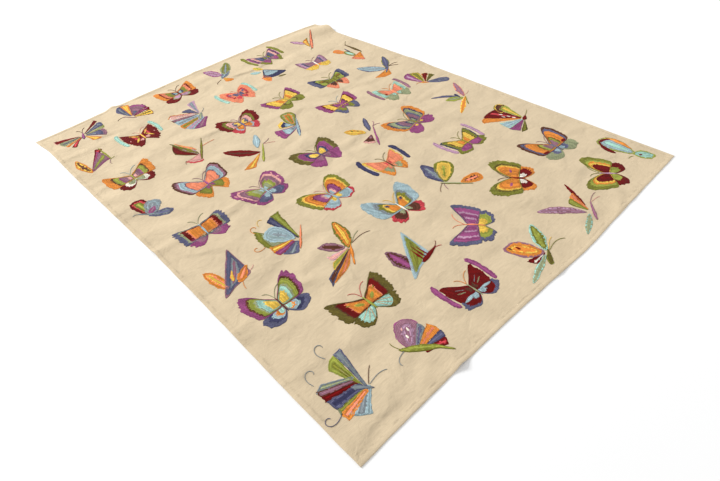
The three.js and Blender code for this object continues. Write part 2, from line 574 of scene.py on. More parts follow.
@dataclass(frozen=True)
class KilimWeave:
    """Ribs over the warps, packed wefts, and streaks where the weft yarn changes."""

    warp_bend: float = 0.6
    weft_bend: float = 0.8
    warp_share: float = 0.6
    weft_share: float = 0.4
    streak_size: Place = (2.2, 120.0, 1.0)
    streak: Cloud = Cloud(1.0, 3.0)
    slub_size: Place = (30.0, 330.0, 1.0)
    slub: Cloud = Cloud(1.0, 1.0)

    def group(self) -> bpy.types.NodeTree:
        """Make the flat-weave group.

        Returns:
            A group that takes a map in metres and puts out the height, a streak value and a slub value.
        """
        graph, given, leave = new_group(
            "kilim_weave", {"Place": "Vector", "Warp Scale": "Float", "Weft Scale": "Float"},
            ("Height", "Streak", "Slub"),
        )
        place = given["Place"]
        warp = ("X", "Warp Scale", self.warp_bend, self.warp_share)
        weft = ("Y", "Weft Scale", self.weft_bend, self.weft_share)
        ribs = []
        for axis, scale, bend, share in (warp, weft):
            settings = {"wave_type": "BANDS", "bands_direction": axis}
            wave = graph.add("ShaderNodeTexWave", settings, Vector=place, Scale=given[scale], Distortion=bend)
            ribs.append(graph.math("MULTIPLY", wave.outputs["Fac"], share))
        graph.send(graph.math("ADD", *ribs), leave, "Height")
        graph.send(graph.noise(graph.stretch(place, self.streak_size), self.streak), leave, "Streak")
        graph.send(graph.noise(graph.stretch(place, self.slub_size), self.slub), leave, "Slub")
        return graph.tree


def hem_seam_group() -> bpy.types.NodeTree:
    """Make the seam group: the furrow along the turned hem's inner edge.

    Returns:
        A group that takes a map in metres from a corner, the cloth's size, how far inside the seam runs and
        its half width, and puts out a mask of it, which the ground's material uses for painted shade and a
        dent along the seam.
    """
    graph, given, leave = new_group(
        "hem_seam", {"Place": "Vector", "Size": "Vector", "Inside": "Float", "Half Width": "Float"}, ("Seam",)
    )
    apart = graph.add("ShaderNodeSeparateXYZ", None, Vector=given["Place"])
    size = graph.add("ShaderNodeSeparateXYZ", None, Vector=given["Size"])
    sides = []
    for axis in (0, 1):
        rest = graph.math("SUBTRACT", size.outputs[axis], apart.outputs[axis])
        sides.append(graph.math("MINIMUM", apart.outputs[axis], rest))
    away = graph.math("ABSOLUTE", graph.math("SUBTRACT", graph.math("MINIMUM", *sides), given["Inside"]))
    share = graph.math("DIVIDE", away, given["Half Width"])
    graph.send(graph.spread(share, WHOLE, (1.0, 0.0)), leave, "Seam")
    return graph.tree


# Finishes


@dataclass(frozen=True)
class Wool:
    """A matt wool of one colour, as seen on screen from 0 to 255."""

    name: str
    red: int
    green: int
    blue: int
    roughness: float = 0.9
    sheen: float = 0.04
    specular: float = 0.12

    def colour(self) -> tuple[float, ...]:
        """Give the wool's colour as a shader takes it."""
        return *(linear(channel) for channel in (self.red, self.green, self.blue)), 1.0

    def dress(self, graph: Graph, value: Socket, normal: Socket) -> None:
        """Give a material's shader the wool's colour, gloss and relief.

        Args:
            graph: the material's nodes.
            value: how light the colour is from place to place.
            normal: the relief.
        """
        shader = graph.tree.nodes["Principled BSDF"]
        shade = graph.add("ShaderNodeHueSaturation", None, Color=self.colour(), Value=value)
        graph.send(shade.outputs[0], shader, "Base Color")
        graph.send(normal, shader, "Normal")
        shader.inputs["Roughness"].default_value = self.roughness
        shader.inputs["Sheen Weight"].default_value = self.sheen
        shader.inputs["Specular IOR Level"].default_value = self.specular


@dataclass(frozen=True)
class YarnFinish(Wool):
    """Embroidery wool, whose tone changes at random by stitch, row, fleck and dye, with shade painted darker
    in the furrows between rows and a little lighter on the crests.
    """

    stitch: float = 0.0065
    by_stitch: Span = (0.86, 1.1)
    by_row: Span = (0.74, 1.24)
    fleck: Cloud = Cloud(260.0, 2.0, kind="3D")
    by_fleck: Span = (0.88, 1.12)
    dye: Cloud = Cloud(26.0, 1.0, kind="3D")
    by_dye: Span = (0.9, 1.1)
    # Painted shade: darker in the furrows between rows, a little lighter on the crests.
    furrow_shade: Span = (1.06, 0.5)
    relief: Span = (0.8, 0.001)

    def material(self, chain: bpy.types.NodeTree) -> bpy.types.Material:
        """Make the wool's material around the chain-stitch group.

        Args:
            chain: the group.

        Returns:
            The material.
        """
        made = bpy.data.materials.new(f"yarn_{self.name}")
        made.use_nodes = True
        made.diffuse_color = self.colour()
        graph = Graph(made.node_tree)
        rows = graph.add("ShaderNodeUVMap", {"uv_map": "rows"}).outputs[0]
        sewn = graph.add("ShaderNodeGroup", {"node_tree": chain}, Rows=rows, Stitch=self.stitch).outputs
        place = graph.add("ShaderNodeTexCoord").outputs["Object"]
        value = graph.product(
            graph.spread(sewn["Stitch Value"], WHOLE, self.by_stitch),
            graph.spread(sewn["Row Value"], WHOLE, self.by_row),
            graph.spread(graph.noise(place, self.fleck), CLOUDS, self.by_fleck),
            graph.spread(graph.noise(place, self.dye), CLOUDS, self.by_dye),
            # Painted shade in the furrows between rows.
            graph.spread(sewn["Furrow"], WHOLE, self.furrow_shade),
        )
        self.dress(graph, value, graph.bump(sewn["Height"], self.relief))
        return made


@dataclass(frozen=True)
class GroundFinish(Wool):
    """Undyed cream wool, flat woven, with soft folds, puckers and a gathered seam, and shade painted into its
    colour in the weave's hollows and along the seam. Sizes are in metres.
    """

    name: str = "cream_wool"
    red: int = 210
    green: int = 191
    blue: int = 160
    roughness: float = 0.93
    sheen: float = 0.03
    warp_scale: float = 90.0
    weft_scale: float = 190.0
    by_streak: Span = (0.975, 1.025)
    by_slub: Span = (0.95, 1.04)
    patch: Cloud = Cloud(7.0, 3.0)
    by_patch: Span = (0.96, 1.04)
    # Painted shade: darker in the weave's hollows, lighter on its ribs.
    weave_hollow_shade: Span = (0.94, 1.04)
    seam: float = 0.022
    seam_half: float = 0.008
    gather: Cloud = Cloud(26.0, 2.0)
    gather_span: Span = (0.42, 0.66)
    # Painted shade along the seam's furrow, mottled where the hem gathers.
    painted_seam_shade: Span = (1.0, 0.88)
    seam_sink: float = 0.3
    fold_turn: float = 0.5
    fold_size: Place = (2.6, 4.4, 1.0)
    fold: Cloud = Cloud(1.0, 0.5, twist=0.8)
    fold_relief: Span = (1.0, 0.026)
    pucker: Cloud = Cloud(12.0, 4.0, 0.52, 0.6)
    pucker_relief: Span = (0.7, 0.009)
    weave_relief: Span = (0.5, 0.0006)

    def material(
        self, weave: bpy.types.NodeTree, seam: bpy.types.NodeTree, size: Point
    ) -> bpy.types.Material:
        """Make the ground's material around the flat-weave group and the hem's seam.

        Args:
            weave: the flat-weave group.
            seam: the seam group.
            size: the cloth's width and length in metres.

        Returns:
            The material.
        """
        made = bpy.data.materials.new(self.name)
        made.use_nodes = True
        graph = Graph(made.node_tree)
        place = graph.add("ShaderNodeUVMap", {"uv_map": "weave"}).outputs[0]
        scales = {"Warp_Scale": self.warp_scale, "Weft_Scale": self.weft_scale}
        cloth = graph.add("ShaderNodeGroup", {"node_tree": weave}, Place=place, **scales).outputs
        sewn = graph.add(
            "ShaderNodeGroup", {"node_tree": seam},
            Place=place, Size=(*size, 0.0), Inside=self.seam, Half_Width=self.seam_half,
        )
        gather = graph.spread(graph.noise(place, self.gather), self.gather_span, WHOLE)
        # The gathered seam's mask: it paints shade into the colour and dents the relief.
        seam_mask_for_shade_and_dent = graph.product(sewn.outputs["Seam"], gather)
        value = graph.product(
            graph.spread(cloth["Streak"], CLOUDS, self.by_streak),
            graph.spread(cloth["Slub"], CLOUDS, self.by_slub),
            graph.spread(graph.noise(place, self.patch), CLOUDS, self.by_patch),
            # Painted shade in the weave's hollows.
            graph.spread(cloth["Height"], WHOLE, self.weave_hollow_shade),
            # Painted shade along the seam.
            graph.spread(seam_mask_for_shade_and_dent, WHOLE, self.painted_seam_shade),
        )
        fold = graph.noise(graph.stretch(place, self.fold_size, self.fold_turn), self.fold)
        sink = graph.math("MULTIPLY", seam_mask_for_shade_and_dent, self.seam_sink)
        pucker = graph.math("SUBTRACT", graph.noise(place, self.pucker), sink)
        broad = graph.bump(fold, self.fold_relief)
        soft = graph.bump(pucker, self.pucker_relief, Normal=broad)
        self.dress(graph, value, graph.bump(cloth["Height"], self.weave_relief, Normal=soft))
        return made


class Yarn(Enum):
    """The embroidery wools on the rug."""

    DARK_RED = YarnFinish("dark_red", 112, 5, 4)
    ROSE = YarnFinish("rose", 200, 66, 74)
    CORAL = YarnFinish("coral", 242, 142, 106)
    PINK = YarnFinish("pink", 228, 168, 158)
    ORANGE = YarnFinish("orange", 226, 138, 56)
    GOLD = YarnFinish("gold", 240, 198, 84)
    MOSS = YarnFinish("moss", 104, 92, 38)
    OLIVE = YarnFinish("olive", 130, 130, 48)
    LIME = YarnFinish("lime", 158, 164, 70)
    SAGE = YarnFinish("sage", 152, 158, 120)
    AQUA = YarnFinish("aqua", 163, 207, 191)
    SKY = YarnFinish("sky", 163, 187, 193)
    STEEL = YarnFinish("steel", 136, 145, 150)
    SLATE = YarnFinish("slate", 96, 96, 124)
    NAVY = YarnFinish("navy", 60, 60, 92)
    PURPLE = YarnFinish("purple", 152, 76, 124)
    LILAC = YarnFinish("lilac", 190, 148, 174)
    MAUVE = YarnFinish("mauve", 150, 106, 122)
    BROWN = YarnFinish("brown", 96, 54, 38)
    CREAM = YarnFinish("cream", 238, 230, 214)


Bands = tuple[tuple[Yarn, float], ...]


def bands_of(words: str) -> Bands:
    """Read a wing's bands of yarn, from the outline inwards.

    Args:
        words: the yarns, each with its share of the rows if that isn't 1, such as "dark_red 2, orange".

    Returns:
        The yarns and shares.
    """
    pairs = [(*part.split(), "1")[:2] for part in words.split(",")]
    return tuple((Yarn[name.upper()], float(share)) for name, share in pairs)



# Embroidery stitches


class Form(Enum):
    """Generic outlines: across and up from the body for wings, along and across for petals."""

    BROAD = (
        (0.02, 0.10), (0.34, 0.32), (0.72, 0.60), (0.97, 0.70), (1.01, 0.38), (0.96, 0.04), (0.85, -0.30),
        (0.45, -0.27), (0.02, -0.22),
    )
    ARCHED = (
        (0.02, 0.08), (0.24, 0.42), (0.52, 0.70), (0.84, 0.82), (1.03, 0.60), (1.03, 0.24), (0.92, -0.12),
        (0.78, -0.34), (0.40, -0.28), (0.02, -0.20),
    )
    SQUARE = (
        (0.02, 0.22), (0.45, 0.35), (0.93, 0.50), (1.01, 0.20), (0.97, -0.18), (0.88, -0.42), (0.45, -0.40),
        (0.02, -0.42),
    )
    SWEPT = (
        (0.02, 0.12), (0.30, 0.46), (0.60, 0.84), (0.88, 0.98), (1.01, 0.68), (0.98, 0.28), (0.84, -0.16),
        (0.48, -0.24), (0.02, -0.20),
    )
    ROUND = (
        (0.02, -0.16), (0.45, -0.22), (0.84, -0.28), (0.92, -0.50), (0.76, -0.72), (0.50, -0.80),
        (0.26, -0.68), (0.02, -0.40),
    )
    POINTED = (
        (0.02, -0.16), (0.45, -0.24), (0.84, -0.28), (0.80, -0.52), (0.62, -0.80), (0.46, -0.92),
        (0.26, -0.76), (0.02, -0.40),
    )
    WIDE = (
        (0.02, -0.16), (0.50, -0.24), (0.88, -0.26), (0.97, -0.46), (0.84, -0.66), (0.62, -0.72),
        (0.34, -0.76), (0.02, -0.44),
    )
    FLARE = (
        (1.01, 0.92), (1.14, 0.98), (1.28, 0.82), (1.32, 0.44), (1.28, 0.02), (1.17, -0.38), (1.00, -0.40),
        (0.99, -0.20), (1.05, 0.06), (1.07, 0.44), (1.03, 0.76),
    )
    SAIL = (
        (0.0, 0.0), (0.20, -0.18), (0.38, -0.38), (0.45, -0.45), (0.53, -0.41), (0.76, -0.20), (0.96, -0.02),
        (1.0, 0.03), (0.90, 0.04), (0.60, 0.04), (0.30, 0.03),
    )
    VANE = (
        (0.0, 0.0), (0.14, -0.22), (0.42, -0.48), (0.72, -0.50), (0.96, -0.20), (1.0, 0.02), (0.78, 0.26),
        (0.45, 0.44), (0.14, 0.28),
    )
    LEAF = (
        (0.0, 0.0), (0.20, -0.34), (0.55, -0.5), (0.88, -0.27), (1.0, 0.0), (0.88, 0.24), (0.55, 0.5),
        (0.20, 0.34),
    )
    LOBE = (
        (0.0, 0.0), (0.22, -0.30), (0.60, -0.5), (0.90, -0.42), (1.0, 0.0), (0.90, 0.42), (0.60, 0.5),
        (0.22, 0.30),
    )
    SPEAR = (
        (0.0, -0.14), (0.16, -0.42), (0.40, -0.48), (0.74, -0.30), (1.0, 0.0), (0.74, 0.30), (0.40, 0.5),
        (0.16, 0.42), (0.0, 0.14),
    )


def smooth_loop(corners: list[Point], parts: int = 8) -> list[Point]:
    """Round a closed loop of corners with a curve through them.

    Args:
        corners: the loop's corners in order.
        parts: how many short lines stand for each side.

    Returns:
        The points of the rounded loop.
    """
    count = len(corners)
    loop: list[Point] = []
    for index in range(count):
        before, here = corners[index - 1], corners[index]
        after, beyond = corners[(index + 1) % count], corners[(index + 2) % count]
        for part in range(parts):
            t = part / parts
            loop.append(tuple(
                0.5 * (
                    2 * here[k]
                    + (after[k] - before[k]) * t
                    + (2 * before[k] - 5 * here[k] + 4 * after[k] - beyond[k]) * t * t
                    + (3 * here[k] - before[k] - 3 * after[k] + beyond[k]) * t ** 3
                )
                for k in (0, 1)
            ))
    return loop


def even_loop(loop: list[Point], step: float, fewest: int = 10) -> list[Point]:
    """Set points at even distances round a closed loop, anticlockwise.

    Args:
        loop: the loop's points in order.
        step: how far apart to set them, about.
        fewest: how many to set at least.

    Returns:
        The new points.
    """
    twice_area = sum(
        here[0] * after[1] - after[0] * here[1] for here, after in zip(loop, loop[1:] + loop[:1])
    )
    if twice_area < 0:
        loop = loop[::-1]
    sides = [math.dist(loop[i], loop[(i + 1) % len(loop)]) for i in range(len(loop))]
    total = sum(sides)
    count = max(fewest, round(total / step))
    placed: list[Point] = []
    side, passed = 0, 0.0
    for index in range(count):
        goal = total * index / count
        while passed + sides[side] < goal:
            passed += sides[side]
            side += 1
        t = (goal - passed) / sides[side] if sides[side] else 0.0
        placed.append(between(loop[side], loop[(side + 1) % len(loop)], t))
    return placed


def nearest_on(spine: tuple[Point, ...], point: Point) -> Point:
    """Find the nearest place on a line of short stretches.

    Args:
        spine: the line's points in order.
        point: the point to be near to.

    Returns:
        The nearest place.
    """
    best, best_gap = spine[0], math.inf
    for start, end in zip(spine, spine[1:]):
        dx, dy = end[0] - start[0], end[1] - start[1]
        square = dx * dx + dy * dy
        t = ((point[0] - start[0]) * dx + (point[1] - start[1]) * dy) / square if square else 0.0
        here = between(start, end, min(1.0, max(0.0, t)))
        gap = math.dist(here, point)
        if gap < best_gap:
            best, best_gap = here, gap
    return best


@dataclass(frozen=True)
class StitchSizes:
    """Real sizes of the yarn work, in millimetres, and shares of them."""

    row: float = 7.0
    row_jump: int = 31
    along: float = 8.0
    stroke: float = 4.5
    stroke_low: float = 0.7
    edge: float = -0.3
    furrow: float = 0.9
    crest: float = 1.9
    layer: float = 0.45
    tooth: float = 3.4
    fray: Span = (-1.0, 0.7)
    jitter: float = 0.14
    least: float = 0.01
    wobble: float = 7.0
    wobble_size: float = 42.0
    wobble_slice: float = 5.1
    under: float = 1.3
    under_step: float = 14.0
    mixed: float = 0.28
    thread: float = 2.7
    thread_top: float = 0.28
    thread_crown: float = 0.8
    thread_taper: float = 0.45
    feeler: float = 2.4


SIZES = StitchSizes()
HAIR = 1e-6


@dataclass
class Patch:
    """An area filled with rows of chain stitch, nested from its outline to its spine, in cloth millimetres.

    The bands give the yarns from the outline inwards, each with its share of the rows. A fringed patch has
    its first band sewn in short strokes across the outline.
    """

    outline: list[Point]
    spine: tuple[Point, ...]
    bands: Bands
    layer: int = 0
    tooth: float = SIZES.tooth
    is_fringed: bool = False
    motif: int = 0

    def fringe(self) -> float:
        """Give the share of the rows that is sewn in strokes across the outline."""
        return self.bands[0][1] / sum(share for _, share in self.bands) if self.is_fringed else 0.0

    def yarn_at(self, share: float) -> Yarn:
        """Find the yarn at a share of the way from the outline inwards.

        Args:
            share: the share, which may be past the spine.

        Returns:
            The yarn.
        """
        total = sum(part for _, part in self.bands)
        passed = 0.0
        for yarn, part in self.bands:
            passed += part / total
            if share <= passed + HAIR:
                return yarn
        return self.bands[-1][0]

    def relief(self, ring: int, index: int, row: float, is_stroke: bool) -> float:
        """Work out the height of a point of a ring.

        Args:
            ring: the ring, from the outline inwards.
            index: the point of the ring.
            row: how wide the rows are there.
            is_stroke: whether the point is in a band of strokes across the outline.

        Returns:
            Millimetres over the cloth.
        """
        if ring == 0:
            return SIZES.edge
        full = min(1.0, row / SIZES.row)
        proud = SIZES.stroke_low + (1 - SIZES.stroke_low) * (index % 2) if is_stroke else float(ring % 2)
        return self.layer * SIZES.layer + SIZES.furrow + (SIZES.crest - SIZES.furrow) * proud * full


@dataclass
class Thread:
    """A single line of yarn along a path, in cloth millimetres."""

    path: list[Point]
    yarn: Yarn
    layer: int = 2
    wide: float = SIZES.thread
    motif: int = 0


Ring = list[tuple[int, Point]]
Corner = tuple[int, Point, Point]


@dataclass
class EmbroideryMesh:
    """The joined mesh of one row of motifs, and its two maps."""

    name: str
    cloth: Cloth
    chance: random.Random
    cells: list[Point]
    reach: float = 200.0
    grid: int = 5
    sheets: int = 3
    border: float = 0.005
    hidden: Point = (0.99, 0.99)
    patches: int = 0
    points: list[Place] = field(default_factory=list)
    faces: list[Face] = field(default_factory=list)
    yarns: list[Yarn] = field(default_factory=list)
    rows: list[Point] = field(default_factory=list)
    bake: list[Point] = field(default_factory=list)

    def bake_point(self, place: Point, motif: int, layer: int) -> Point:
        """Place a point on the map for baking: three squares for each motif, by what lies on what.

        Args:
            place: the point's place on the cloth.
            motif: which motif of the row it is in.
            layer: what it lies on.

        Returns:
            Its place on the map.
        """
        index = motif * self.sheets + min(layer, self.sheets - 1)
        corner = (index % self.grid, index // self.grid)
        shares = [(at - centre) / (2 * self.reach) + 0.5 for at, centre in zip(place, self.cells[motif])]
        shares = [min(1 - self.border, max(self.border, share)) for share in shares]
        return (corner[0] + shares[0]) / self.grid, (corner[1] + shares[1]) / self.grid

    def add_point(self, place: Point, above: float) -> tuple[int, Point]:
        """Add a point over the cloth and give its number and its place."""
        self.points.append(self.cloth.place(*place, above))
        return len(self.points) - 1, place

    def add_face(self, corners: list[Corner], yarn: Yarn, motif: int, layer: int) -> None:
        """Add a face.

        Args:
            corners: for each corner its number, its place on the cloth and its place on the map of rows.
            yarn: the face's wool.
            motif: which motif of the row it is in.
            layer: what it lies on, or less than nothing for a face that never shows.
        """
        self.faces.append(tuple(corner[0] for corner in corners))
        self.yarns.append(yarn)
        for _, place, row in corners:
            self.rows.append(row)
            self.bake.append(self.bake_point(place, motif, layer) if layer >= 0 else self.hidden)

    def add_patch(self, patch: Patch) -> None:
        """Sew one filled area: rings from its outline to its spine, each row a furrow, a crest and a furrow.

        Args:
            patch: the area.
        """
        outline = even_loop(patch.outline, SIZES.along)
        hearts = [nearest_on(patch.spine, point) for point in outline]
        gaps = [math.dist(point, heart) or 1.0 for point, heart in zip(outline, hearts)]
        deepest, fringe = max(gaps), patch.fringe()
        rows = max(1, round(deepest / SIZES.row))
        teeth = [self.chance.uniform(*SIZES.fray) * patch.tooth * (gap / deepest) ** 2 for gap in gaps]
        swell = [self.swell(point) * gap / deepest for point, gap in zip(outline, gaps)]
        rings: list[Ring] = []
        for k in range(2 * rows):
            share = 1 - k / (2 * rows)
            fade = max(0.0, 1 - (1 - share) / fringe) if fringe else float(k < 2)
            ring = []
            for i, (point, heart) in enumerate(zip(outline, hearts)):
                fray = teeth[i] * fade + swell[i] * share
                if k >= 2:
                    fray += self.chance.uniform(-SIZES.jitter, SIZES.jitter) * SIZES.row * share
                place = between(heart, point, max(SIZES.least, share + fray / max(gaps[i], SIZES.row)))
                ring.append(self.add_point(place, patch.relief(k, i, gaps[i] / rows, 1 - share <= fringe)))
            rings.append(ring)
        self.add_rows(patch, rings, deepest)
        self.add_underside(patch, rings[0], hearts, max(1, round(deepest / SIZES.under_step)))

    @staticmethod
    def swell(point: Point) -> float:
        """Give how far an outline swells out by hand at a point."""
        spot = Vector((point[0] / SIZES.wobble_size, point[1] / SIZES.wobble_size, SIZES.wobble_slice))
        return SIZES.wobble * noise.noise(spot)

    def add_rows(self, patch: Patch, rings: list[Ring], deepest: float) -> None:
        """Lay the faces of a filled area between its rings, and close its middle.

        Args:
            patch: the area.
            rings: its rings, from the outline inwards.
            deepest: the longest way from its outline to its spine.
        """
        count, rows, fringe = len(rings[0]), len(rings) // 2, patch.fringe()
        first_row = self.patches * SIZES.row_jump
        self.patches += 1
        half_row = deepest / (2 * rows) * MM
        for k in range(2 * rows - 1):
            share = (k // 2 + 0.5) / rows
            if k % 2 == 0:
                yarn, after = patch.yarn_at(share), patch.yarn_at(share + 1 / rows)
                sewn = [after if self.chance.random() < SIZES.mixed else yarn for _ in range(count)]
            lengths = self.run_lengths(rings[min(k | 1, 2 * rows - 1)])
            for i in range(count):
                j = (i + 1) % count
                quad = ((k, i, i), (k, j, i + 1), (k + 1, j, i + 1), (k + 1, i, i))
                if share <= fringe:
                    laid = [(m * half_row, first_row + lengths[n] / SIZES.stroke) for m, _, n in quad]
                else:
                    laid = [(lengths[n] * MM, first_row + m / 2) for m, _, n in quad]
                corners = [(*rings[m][p], row) for (m, p, _), row in zip(quad, laid)]
                self.add_face(corners, sewn[i], patch.motif, patch.layer)
        inner = [(number, place, (place[0] * MM, rows - 0.5)) for number, place in rings[-1]]
        self.add_face(inner, patch.yarn_at(1.0), patch.motif, patch.layer)

    def add_underside(self, patch: Patch, rim: Ring, hearts: list[Point], steps: int) -> None:
        """Close a filled area inside the cloth, with rings that follow the creases.

        Args:
            patch: the area.
            rim: its outermost ring.
            hearts: the spine's nearest point for each point of the ring.
            steps: how many rings to make.
        """
        yarn, count = patch.bands[0][0], len(rim)
        outer = rim
        for step in range(1, steps):
            share = 1 - step / steps
            places = [between(heart, point, share) for (_, point), heart in zip(rim, hearts)]
            inner = [self.add_point(place, -SIZES.under) for place in places]
            for i in range(count):
                j = (i + 1) % count
                corners = [(*corner, (0.0, 0.0)) for corner in (outer[j], outer[i], inner[i], inner[j])]
                self.add_face(corners, yarn, patch.motif, -1)
            outer = inner
        self.add_face([(*corner, (0.0, 0.0)) for corner in reversed(outer)], yarn, patch.motif, -1)

    @staticmethod
    def run_lengths(ring: Ring) -> list[float]:
        """Measure the way round a ring.

        Args:
            ring: the ring.

        Returns:
            The distance to each of its points, and once round.
        """
        lengths = [0.0]
        for here, after in zip(ring, ring[1:] + ring[:1]):
            lengths.append(lengths[-1] + math.dist(here[1], after[1]))
        return lengths

    def add_thread(self, thread: Thread) -> None:
        """Sew one line of yarn as a low rounded strip that tapers at both ends.

        Args:
            thread: the line.
        """
        path, base, crown = thread.path, thread.layer * SIZES.layer, SIZES.crest * SIZES.thread_crown
        top = SIZES.thread_top
        profile = ((-0.5, SIZES.edge), (-top, crown), (top, crown), (0.5, SIZES.edge))
        sections: list[Ring] = []
        passed = [0.0]
        for i, point in enumerate(path):
            before, after = path[max(0, i - 1)], path[min(len(path) - 1, i + 1)]
            gap = math.dist(before, after) or 1.0
            side = (-(after[1] - before[1]) / gap, (after[0] - before[0]) / gap)
            taper = SIZES.thread_taper if i in (0, len(path) - 1) else 1.0
            line = []
            for across, above in profile:
                reach = across * thread.wide * taper
                place = (point[0] + side[0] * reach, point[1] + side[1] * reach)
                line.append(self.add_point(place, above if above < 0 else base + above * taper))
            sections.append(line)
            if i:
                passed.append(passed[-1] + math.dist(path[i - 1], point))
        edges = len(profile)
        for i in range(len(path) - 1):
            for k in range(edges):
                m = (k + 1) % edges
                low, high = (k / (edges - 1), (k + 1) / (edges - 1)) if m else (1.0, 0.0)
                quad = ((i, m, high), (i, k, low), (i + 1, k, low), (i + 1, m, high))
                corners = [(*sections[n][p], (passed[n] * MM, row)) for n, p, row in quad]
                self.add_face(corners, thread.yarn, thread.motif, thread.layer)
        for ring in (sections[0], sections[-1][::-1]):
            ends = [(*corner, (0.0, 0.5)) for corner in ring]
            self.add_face(ends, thread.yarn, thread.motif, thread.layer)

    def build(self, wools: dict[Yarn, bpy.types.Material]) -> bpy.types.Object:
        """Make the object, with one material slot for each yarn that the row uses.

        Args:
            wools: the material of each yarn.

        Returns:
            The object.
        """
        made = new_object(self.name, self.points, self.faces, {"rows": self.rows, "OFBake": self.bake})
        used = sorted(set(self.yarns), key=lambda yarn: yarn.value.name)
        for yarn in used:
            made.data.materials.append(wools[yarn])
        made.data.polygons.foreach_set("material_index", [used.index(yarn) for yarn in self.yarns])
        made.data.update()
        return made


# Butterflies


@dataclass(frozen=True)
class ButterflySizes:
    """What all butterflies have in common: shares of the half span, millimetres and degrees."""

    raised: float = 0.05
    lean: float = 3.5
    uneven: float = 0.012
    fringe_tooth: float = 1.8
    root: float = 0.07
    root_spine: tuple[float, ...] = (0.3, 0.5, 0.7)
    flare_spine: tuple[Point, ...] = ((1.15, 0.80), (1.18, 0.44), (1.15, 0.04), (1.07, -0.28))
    spot_tooth: float = 0.8
    body_low: float = 0.03
    body_below: float = 5
    body_above: float = 17
    body_wide: float = 12
    body_tooth: float = 0.5
    feeler_gap: float = 12
    feelers: tuple[Place, ...] = ((-30, 0.34, -60), (6, 0.24, 75))
    vein_root: Point = (0.12, 0.4)
    vein_steps: int = 6
    vein_ends: tuple[Point, ...] = ((0.36, -0.66), (0.58, -0.60), (0.74, -0.46))
    top_layer: int = 3


COMMON = ButterflySizes()


@dataclass(frozen=True)
class Wing:
    """One wing of an open butterfly, drawn on the right and mirrored on the left."""

    form: Form
    bands: str
    size: float = 1.0
    tooth: float = SIZES.tooth


@dataclass(frozen=True)
class Spot:
    """A small mark on a wing, in shares of the half span, with its turn in degrees."""

    across: float
    up: float
    long: float
    wide: float
    turn: float
    yarn: Yarn

    def lay(self, along: float, aside: float) -> Point:
        """Lay a point of the mark by its shares of the way along and across it."""
        x, y = turned(((along - 0.5) * self.long, aside * self.wide), math.radians(self.turn))
        return self.across + x, self.up + y


@dataclass(frozen=True)
class Petal:
    """A leaf-shaped wing, body or mark, in millimetres and degrees from +X about its butterfly's centre.

    bulge bends it to the left of its own direction, as a share of its length.
    """

    x: float
    y: float
    turn: float
    reach: float
    wide: float
    form: Form
    bands: str
    bulge: float = 0.0
    tooth: float = 2.0
    deepest_start: float = 0.3
    spine_parts: int = 4

    def lay(self, along: float, across: float) -> Point:
        """Lay a point by its shares of the way along and across the petal."""
        bend = self.bulge * self.reach * math.sin(math.pi * min(1.0, max(0.0, along)))
        x, y = turned((along * self.reach, across * self.wide + bend), math.radians(self.turn))
        return self.x + x, self.y + y

    def patch(self, layer: int) -> Patch:
        """Lay the outline, and the spine along its middle.

        Args:
            layer: what it lies on.

        Returns:
            The area to sew.
        """
        corners = list(self.form.value)
        outline = [self.lay(*corner) for corner in smooth_loop(corners)]
        start = min(self.deepest_start, 0.5 * self.wide / self.reach)
        middle = sum(across for _, across in corners) / len(corners)
        parts = [part / self.spine_parts for part in range(self.spine_parts + 1)]
        spine = tuple(self.lay(start + (1 - 2 * start) * part, middle) for part in parts)
        return Patch(outline, spine, bands_of(self.bands), layer, self.tooth)


@dataclass(frozen=True)
class Stripe:
    """A wedge of wing that widens from its root, in millimetres and degrees from +X.

    near and far are its reaches along its first and last rays, and inner is the share of them at which its
    yarn starts. tip rounds its end and bend curls its rays.
    """

    x: float
    y: float
    start: float
    end: float
    near: float
    far: float
    bands: str
    tip: float = 0.05
    bend: float = 0.0
    tooth: float = 7.0
    inner: float = 0.08
    lap: float = 0.8
    broad: float = 34.0
    sides: tuple[float, ...] = (0.02, 0.3, 0.6, 0.88)
    tip_parts: int = 4
    broad_spine: tuple[float, ...] = (0.1, 0.16, 0.22)
    long_spine: tuple[float, ...] = (0.14, 0.4, 0.66, 0.9)

    def lay(self, across: float, along: float) -> Point:
        """Lay a point of the wedge.

        Args:
            across: the share of the way from its first ray to its last.
            along: the share of the way from its root to its end.

        Returns:
            The place, in millimetres.
        """
        turn = self.start - self.lap + (self.end - self.start + 2 * self.lap) * across
        turn += self.bend * along ** 2
        reach = (self.near + (self.far - self.near) * across) * (self.inner + (1 - self.inner) * along)
        angle = math.radians(turn)
        return self.x + math.cos(angle) * reach, self.y + math.sin(angle) * reach

    def patch(self, layer: int) -> Patch:
        """Lay the outline, and the spine along the middle or, in a broad wedge, near the root.

        Args:
            layer: what it lies on.

        Returns:
            The area to sew.
        """
        corners = [self.lay(0.0, along) for along in self.sides]
        parts = [part / self.tip_parts for part in range(self.tip_parts + 1)]
        corners += [self.lay(part, 1 + self.tip * math.sin(math.pi * part)) for part in parts]
        corners += [self.lay(1.0, along) for along in reversed(self.sides)]
        reaches = self.broad_spine if self.end - self.start > self.broad else self.long_spine
        spine = tuple(self.lay(0.5, along) for along in reaches)
        return Patch(smooth_loop(corners, 4), spine, bands_of(self.bands), layer, self.tooth)


def wedges(x: float, y: float, *rays: tuple[float, float, float, float, str], **shape: float) -> list[Stripe]:
    """Give wedges of one root and shape, each by its start, end, near, far and bands."""
    return [Stripe(x, y, *ray, **shape) for ray in rays]


